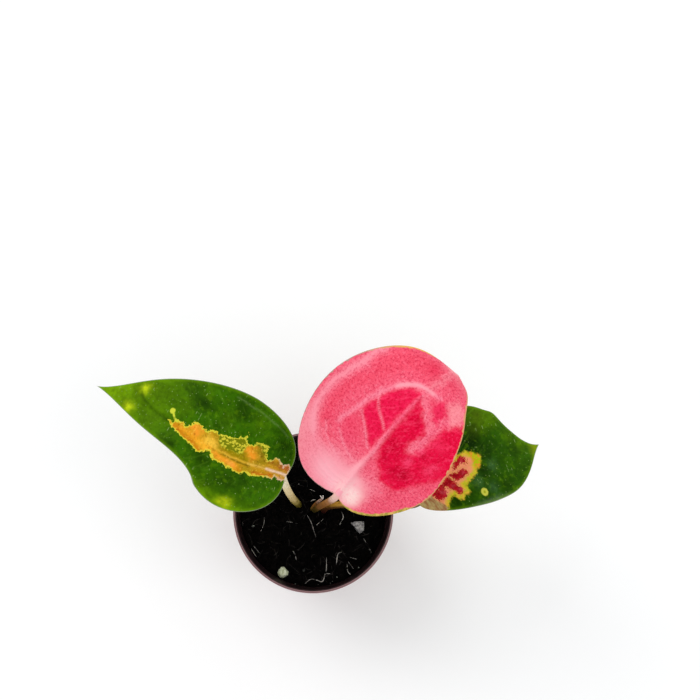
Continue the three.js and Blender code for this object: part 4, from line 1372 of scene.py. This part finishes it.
def peat_surface(x, y):
    """The height of the soil's top with its clods and grains."""
    clods = CLODS[0] * fractal((x, y, 0), CLODS[1], 4)
    grains = GRAINS[0] * fractal((x, y, 9), GRAINS[1], 4)
    return float(soil_top(x, y)) + clods + grains


def peat_material():
    shader = Shader("peat", 0.02)
    picture = shader.mix(shader.clouds(1.5, 0.4, 0.7, 6, 0.7), 0x020202, 0x0B0807)
    picture = shader.mix(shader.clouds(0.9, 0.62, 0.74, 3, 0.7), picture, 0x1E1614)
    return shader.finish(picture, 0.92, shader.bump(shader.noise(0.5, 5, 0.7), 0.25))


def fibre_material(name, dark, light):
    shader = Shader(name, 0.05)
    picture = shader.mix(shader.clouds(2, 0.35, 0.65), dark, light)
    return shader.finish(picture, 0.8, shader.bump(shader.noise(0.2), 0.05))


def build_soil(material):
    """The peat: a closed solid that fills the pot, with a crumbly top."""
    share = np.arange(1, SOIL_RINGS + 1) / SOIL_RINGS
    wide = pot_inside(SOIL_LEVEL) - SOIL_GAP
    top = turned([(wide * s, 0) for s in share], SOIL_SEGMENTS)
    drop = SOIL_EDGE_DROP * np.maximum(0, (share - SOIL_EDGE) / (1 - SOIL_EDGE))
    top[..., 2] = [[peat_surface(x, y) for x, y, _ in ring] for ring in top] - drop[:, None]
    wall = [(pot_inside(z) - SOIL_GAP, z) for z in SOIL_WALL]
    bottom = [(pot_inside(SOIL_BOTTOM) - 1.4, SOIL_BOTTOM), (9, SOIL_BOTTOM)]
    rings = np.concatenate([top, turned(wall + bottom, SOIL_SEGMENTS)])
    points, faces = loft(rings, (0, 0, peat_surface(0, 0)), (0, 0, SOIL_BOTTOM))
    make_piece("soil", points, faces, [material], "peat", ["soil"])


def lump(subdivisions):
    """Points and faces of a ball of triangles, one mm in radius, to be knocked out of shape."""
    ball = bmesh.new()
    bmesh.ops.create_icosphere(ball, subdivisions=subdivisions, radius=1)
    points = np.array([v.co for v in ball.verts])
    faces = [[v.index for v in face.verts] for face in ball.faces]
    ball.free()
    return points, faces


def spin(rng):
    """A random rotation."""
    return np.array(Matrix.Rotation(rng.uniform(0, TURN), 3, Vector(rng.normal(size=3)).normalized()))


def crumb(rng, ball, x, y, size, roughness, fineness, lift):
    """The ball's points knocked out of shape by noise, sized, spun, and set on the peat at x and y."""
    offset = rng.uniform(0, 50, 3)
    knocked = np.array([p * (1 + roughness * fractal(p * fineness + offset, 1)) for p in ball])
    return (knocked * size) @ spin(rng).T + (x, y, peat_surface(x, y) + lift)


def scatter_place(rng, reach):
    """A random place on the soil."""
    radius = reach * math.sqrt(rng.uniform())
    angle = rng.uniform(0, TURN)
    return radius * math.cos(angle), radius * math.sin(angle)


def held_in(x, y, limit):
    """The place itself, or the nearest one to it in a circle of that radius."""
    far = math.hypot(x, y)
    return (x, y) if far <= limit else (x * limit / far, y * limit / far)


def thread(points, radius, sides, taper):
    """A thin closed tube along a line that narrows at both ends."""
    line = soft_line(points, steps=5)
    share = np.linspace(0, 1, len(line))
    size = radius * (1 - taper * (2 * share - 1) ** 4)
    return loft(sweep(line, size, sides), line[0], line[-1])


def build_crumbs(material):
    rng = np.random.default_rng(11)
    least, more, most = CRUMB_SIZES
    ball, skin = lump(2)
    parts = []
    for _ in range(CRUMBS):
        x, y = scatter_place(rng, CRUMB_REACH)
        radius = min(least + rng.exponential(more), most)
        size = radius * np.array(CRUMB_SHAPE) * rng.uniform(0.7, 1.2, 3)
        parts.append((crumb(rng, ball, x, y, size, 0.45, 1.3, CRUMB_SET * size.min()), skin))
    make_piece("peat_crumbs", *gather(parts), [material], "peat")


def build_fibres():
    """Short brown fibres that lie in the peat."""
    rng = np.random.default_rng(23)
    parts = []
    for _ in range(FIBRES):
        x, y = scatter_place(rng, FIBRE_REACH)
        length = rng.uniform(*FIBRE_LENGTHS)
        heading = rng.uniform(0, TURN)
        bend = rng.normal(0, FIBRE_BEND)
        points = []
        for share in np.linspace(-0.5, 0.5, 5):
            angle = heading + bend * share
            away = length * share
            px, py = held_in(x + away * math.cos(angle), y + away * math.sin(angle), FIBRE_LIMIT)
            points.append((px, py, peat_surface(px, py) + FIBRE_LIFT[0] + FIBRE_LIFT[1] * rng.uniform()))
        parts.append(thread(points, rng.uniform(*FIBRE_RADII), 6, 0.5))
    make_piece("peat_fibres", *gather(parts), [fibre_material("peat fibre", 0x080606, 0x2E2A28)], "peat")


# Pale rootlets that lie on the peat: radius, and places on the soil in mm.
ROOTLETS = (
    (0.16, ((-2.4, -1), (-1, -3.4), (-0.2, -5.6), (1, -9.3))),
    (0.1, ((1.2, -4.8), (3.9, -2.4))),
    (0.14, ((10.6, 0.3), (11.3, -1.8), (10.1, -4.2))),
    (0.21, ((10.4, -3.8), (9.9, -4.7))),
    (0.19, ((-5.8, 10.4), (-4.9, 11.2))),
    (0.18, ((-1.1, 4), (-0.3, 4.5), (0.7, 4.7))),
    (0.13, ((-1.3, 8.6), (0.6, 7.8))),
    (0.07, ((-18.5, -1.9), (-18.7, -4.5), (-19.8, -7.2))),
    (0.06, ((-26.6, -2.4), (-26.6, -5.1))),
    (0.19, ((-7.6, -14.4), (-6.8, -15.9), (-6.3, -17.8))),
    (0.16, ((10.8, -14.8), (9.3, -15.7), (8.7, -19.6))),
    (0.13, ((13.6, -16.7), (16.5, -17.5))),
    (0.14, ((13.1, -18.3), (15.2, -21))),
    (0.16, ((12.8, -19.4), (13.1, -22), (14.6, -23.6))),
    (0.15, ((5, -16.7), (5, -21), (4.5, -23.1), (3.5, -25.7), (1.3, -25.2), (-0.9, -24.9), (-3, -26.5))),
    (0.11, ((4.5, -22.8), (6.4, -22.8))),
    (0.12, ((-23.9, -13.9), (-22.9, -16.2), (-22.2, -14.7))),
    (0.12, ((-22.8, -14.5), (-21.4, -16.7))),
    (0.08, ((-22.4, -12.6), (-20.2, -15.2))),
    (0.1, ((19, -9.8), (20, -11.4))),
    (0.08, ((21.1, -13.6), (21.9, -14.8), (21.1, -15.7))),
    (0.05, ((-10.2, -3.5), (-8, -3.8), (-5.8, -4.3))),
)
# Pale flecks on the peat: x, y and radius.
FLECKS = (
    (6.5, -26.4, 0.3), (-6.6, -26.6, 0.22), (1.9, -26.9, 0.22), (-3.5, -21.5, 0.75), (9, -24.1, 0.3),
    (7.3, -25.6, 0.22), (-22.7, -5.2, 0.5), (17.2, -20.6, 0.3), (-16.5, 3.4, 0.25),
)


def build_rootlets():
    parts = []
    for radius, line in ROOTLETS:
        flat = soft_line([(*p, 0) for p in line], steps=4)
        places = [held_in(x, y, ROOTLET_LIMIT) for x, y, _ in flat]
        points = [(x, y, peat_surface(x, y) + ROOTLET_LIFT + radius / 2) for x, y in places]
        parts.append(thread(points, radius, 9, 0.7))
    make_piece("rootlets", *gather(parts), [fibre_material("rootlet", 0x524E4C, 0xB2ACA4)], "stem")


def build_flecks():
    rng = np.random.default_rng(31)
    ball, skin = lump(3)
    parts = []
    for x, y, radius in FLECKS:
        size = radius * np.array(CRUMB_SHAPE)
        parts.append((crumb(rng, ball, x, y, size, 0.4, 1, 0.3 * radius), skin))
    make_piece("peat_flecks", *gather(parts), [fibre_material("fleck", 0x2C2C2A, 0x8C9084)], "peat")


# ---------------------------------------------------------------- perlite

# The planes that chip a grain out of a ball 1 mm in radius: the way each faces, and how far out it is.
ROUND_CHIPS = (((1, 0.3, 0.2), 0.8), ((-0.6, 0.8, 0.3), 0.85), ((0.1, -1, 0.4), 0.85), ((0, 0, 1), 0.8))
WEDGE_CHIPS = (
    ((0.95, 0.1, 0.1), 0.62), ((-0.2, 0.95, 0.2), 0.55), ((-0.62, -0.75, 0.1), 0.36),
    ((0.75, -0.65, 0.1), 0.75), ((0.2, -0.1, 1), 0.5), ((-0.5, 0.1, 0.8), 0.6),
)
CHIPPED = 0.93  # of what is past a plane is taken off
IN_BOX = 0.99  # of the CAD grain's box is filled, each way


def perlite_material(name, dark, light):
    shader = Shader(name, 0.3)
    picture = shader.mix(shader.clouds(1, 0.35, 0.65, 5, 0.65), dark, light)
    picture = shader.tinted(shader.step(shader.cells(1.1), 0.26, 0.12), picture, 0.3)
    return shader.finish(picture, 0.8, shader.bump(shader.noise(0.35, 5, 0.7), 0.12))


def build_perlite(node, slot, material, turn, chips, seed):
    """A grain in the CAD grain's box: a ball cut by planes, as a broken chip, and then pitted."""
    low, high = (np.array(corner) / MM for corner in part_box(node))
    rng = np.random.default_rng(seed)
    ball, skin = lump(5)
    for direction, cut in chips:
        away = unit(np.array(direction, float))
        ball = ball - np.maximum(ball @ away - cut, 0)[:, None] * away * CHIPPED
    offset = rng.uniform(0, 50, 3)
    ball = np.array([p * (1 + 0.1 * fractal(p + offset, 0.6, 4) - 0.05) for p in ball])
    spun = ball @ np.array(Matrix.Rotation(math.radians(turn), 3, "Z")).T
    least, most = spun.min(0), spun.max(0)
    spun = (spun - (most + least) / 2) / (most - least) * (high - low) * IN_BOX
    make_piece(node, spun + (low + high) / 2, skin, [material], slot, [node])


# ---------------------------------------------------------------- the plant

build_stalk("left", build_leaf(
    "left", left_leaf_upper(), pale_under("leaf left, under face"), "leaf_green_flame", left_green,
    left_under,
    fields={"blaze": [FLAME_LEFT], "net": [FLAME_LEFT_NET, FLAME_LEFT_NET_BASE]},
    shares={"fire": left_fire, "tail": left_tail},
))
build_stalk("middle", build_leaf(
    "middle", pink_face(), middle_leaf_under(), "leaf_pink", middle_pink, middle_green,
    fields={"border": [FLAME_MIDDLE], "patches": PATCHES_MIDDLE, "beige": [], "lime": [], "lip": [PINK_LIP]},
    shares={"blush": no_blush},
))
build_stalk("right", build_leaf(
    "right", right_leaf_upper(), pale_under("leaf right, under face"), "leaf_green_crimson", right_green,
    right_under,
    fields={"border": [BORDER_RIGHT], "patches": PATCHES_RIGHT, "beige": [RIGHT_BEIGE], "lime": [RIGHT_LIME]},
    shares={"blush": right_blush},
))
build_sheaths()
build_pot()
peat = peat_material()
build_soil(peat)
build_crumbs(peat)
build_fibres()
build_rootlets()
build_flecks()
greenish = perlite_material("perlite, greenish", 0xA0A47C, 0xD8DCC0)
build_perlite("perlite_round", "perlite_green", greenish, 20, ROUND_CHIPS, 5)
grey = perlite_material("perlite, grey", 0x565252, 0xA8A4A0)
build_perlite("perlite_angular", "perlite_grey", grey, -10, WEDGE_CHIPS, 8)
crown_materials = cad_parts["crown"].data.materials
crown_materials.clear()
crown_materials.append(fibre_material("buried stem", 0x6A4A22, 0x9A7A44))

# ---------------------------------------------------------------- camera, light and floor

CAMERA_AT = (0, -23, 495)
CAMERA_LENS = 60
CAMERA_SENSOR = 36
CAMERA_SEES = 20  # metres far
CAMERA_PITCH = 10.88  # degrees that the camera leans forward from looking straight down
CAMERA_YAW = 1.75  # degrees that it then looks to the right
# Soft square lights: name, place, width and power in watts. They face the middle of the plant.
LIGHTS = (("key", (-1300, 1200, 2000), 1400, 20), ("fill", (1700, -500, 1700), 1400, 9))
LIGHTS_FACE = (0, 10, 80)
FLOOR_HALF = 3000
FLOOR_LINES = 24  # each way
FLOOR_LEVEL = -0.05
SKY_COLOUR = (0.97, 0.98, 1, 1)
SKY_STRENGTH = 0.82


def add_camera():
    data = bpy.data.cameras.new("camera")
    data.lens = CAMERA_LENS
    data.sensor_width = CAMERA_SENSOR
    data.clip_end = CAMERA_SEES
    camera = bpy.data.objects.new("camera", data)
    pitch, yaw = math.radians(CAMERA_PITCH), math.radians(CAMERA_YAW)
    forward = Vector((math.sin(yaw), math.cos(yaw) * math.sin(pitch), -math.cos(yaw) * math.cos(pitch)))
    right = forward.cross(Vector((0, 1, 0))).normalized()
    turn = Matrix((right, right.cross(forward), -forward)).transposed()
    camera.matrix_world = Matrix.Translation(Vector(CAMERA_AT) * MM) @ turn.to_4x4()
    bpy.context.scene.collection.objects.link(camera)
    bpy.context.scene.camera = camera


def add_light(name, at, size, power):
    data = bpy.data.lights.new(name, "AREA")
    data.shape = "SQUARE"
    data.size = size * MM
    data.energy = power
    light = bpy.data.objects.new(name, data)
    light.location = Vector(at) * MM
    aim = Vector(LIGHTS_FACE) * MM - light.location
    light.rotation_euler = aim.to_track_quat("-Z", "Y").to_euler()
    bpy.context.scene.collection.objects.link(light)


def add_floor():
    grid = np.linspace(-FLOOR_HALF, FLOOR_HALF, FLOOR_LINES)
    points = [(x, y, FLOOR_LEVEL) for x in grid for y in grid]
    here = np.arange(FLOOR_LINES**2).reshape(FLOOR_LINES, FLOOR_LINES)
    faces = np.stack([here[:-1, :-1], here[1:, :-1], here[1:, 1:], here[:-1, 1:]], -1).reshape(-1, 4)
    shader = Shader("floor", 0.1)
    picture = shader.mix(shader.noise(40), 0xFBFBFA, 0xFDFDFC)
    material = shader.finish(picture, 0.9, shader.bump(shader.noise(1.5), 0.02))
    floor = add_object("floor", points, faces.tolist(), [material], closed=False)


def add_world():
    world = bpy.data.worlds.new("studio")
    world.use_nodes = True
    sky = world.node_tree.nodes["Background"]
    sky.inputs["Color"].default_value = SKY_COLOUR
    sky.inputs["Strength"].default_value = SKY_STRENGTH
    bpy.context.scene.world = world


add_camera()
add_floor()
add_world()
for light in LIGHTS:
    add_light(*light)
bpy.context.scene.view_settings.view_transform = "Standard"
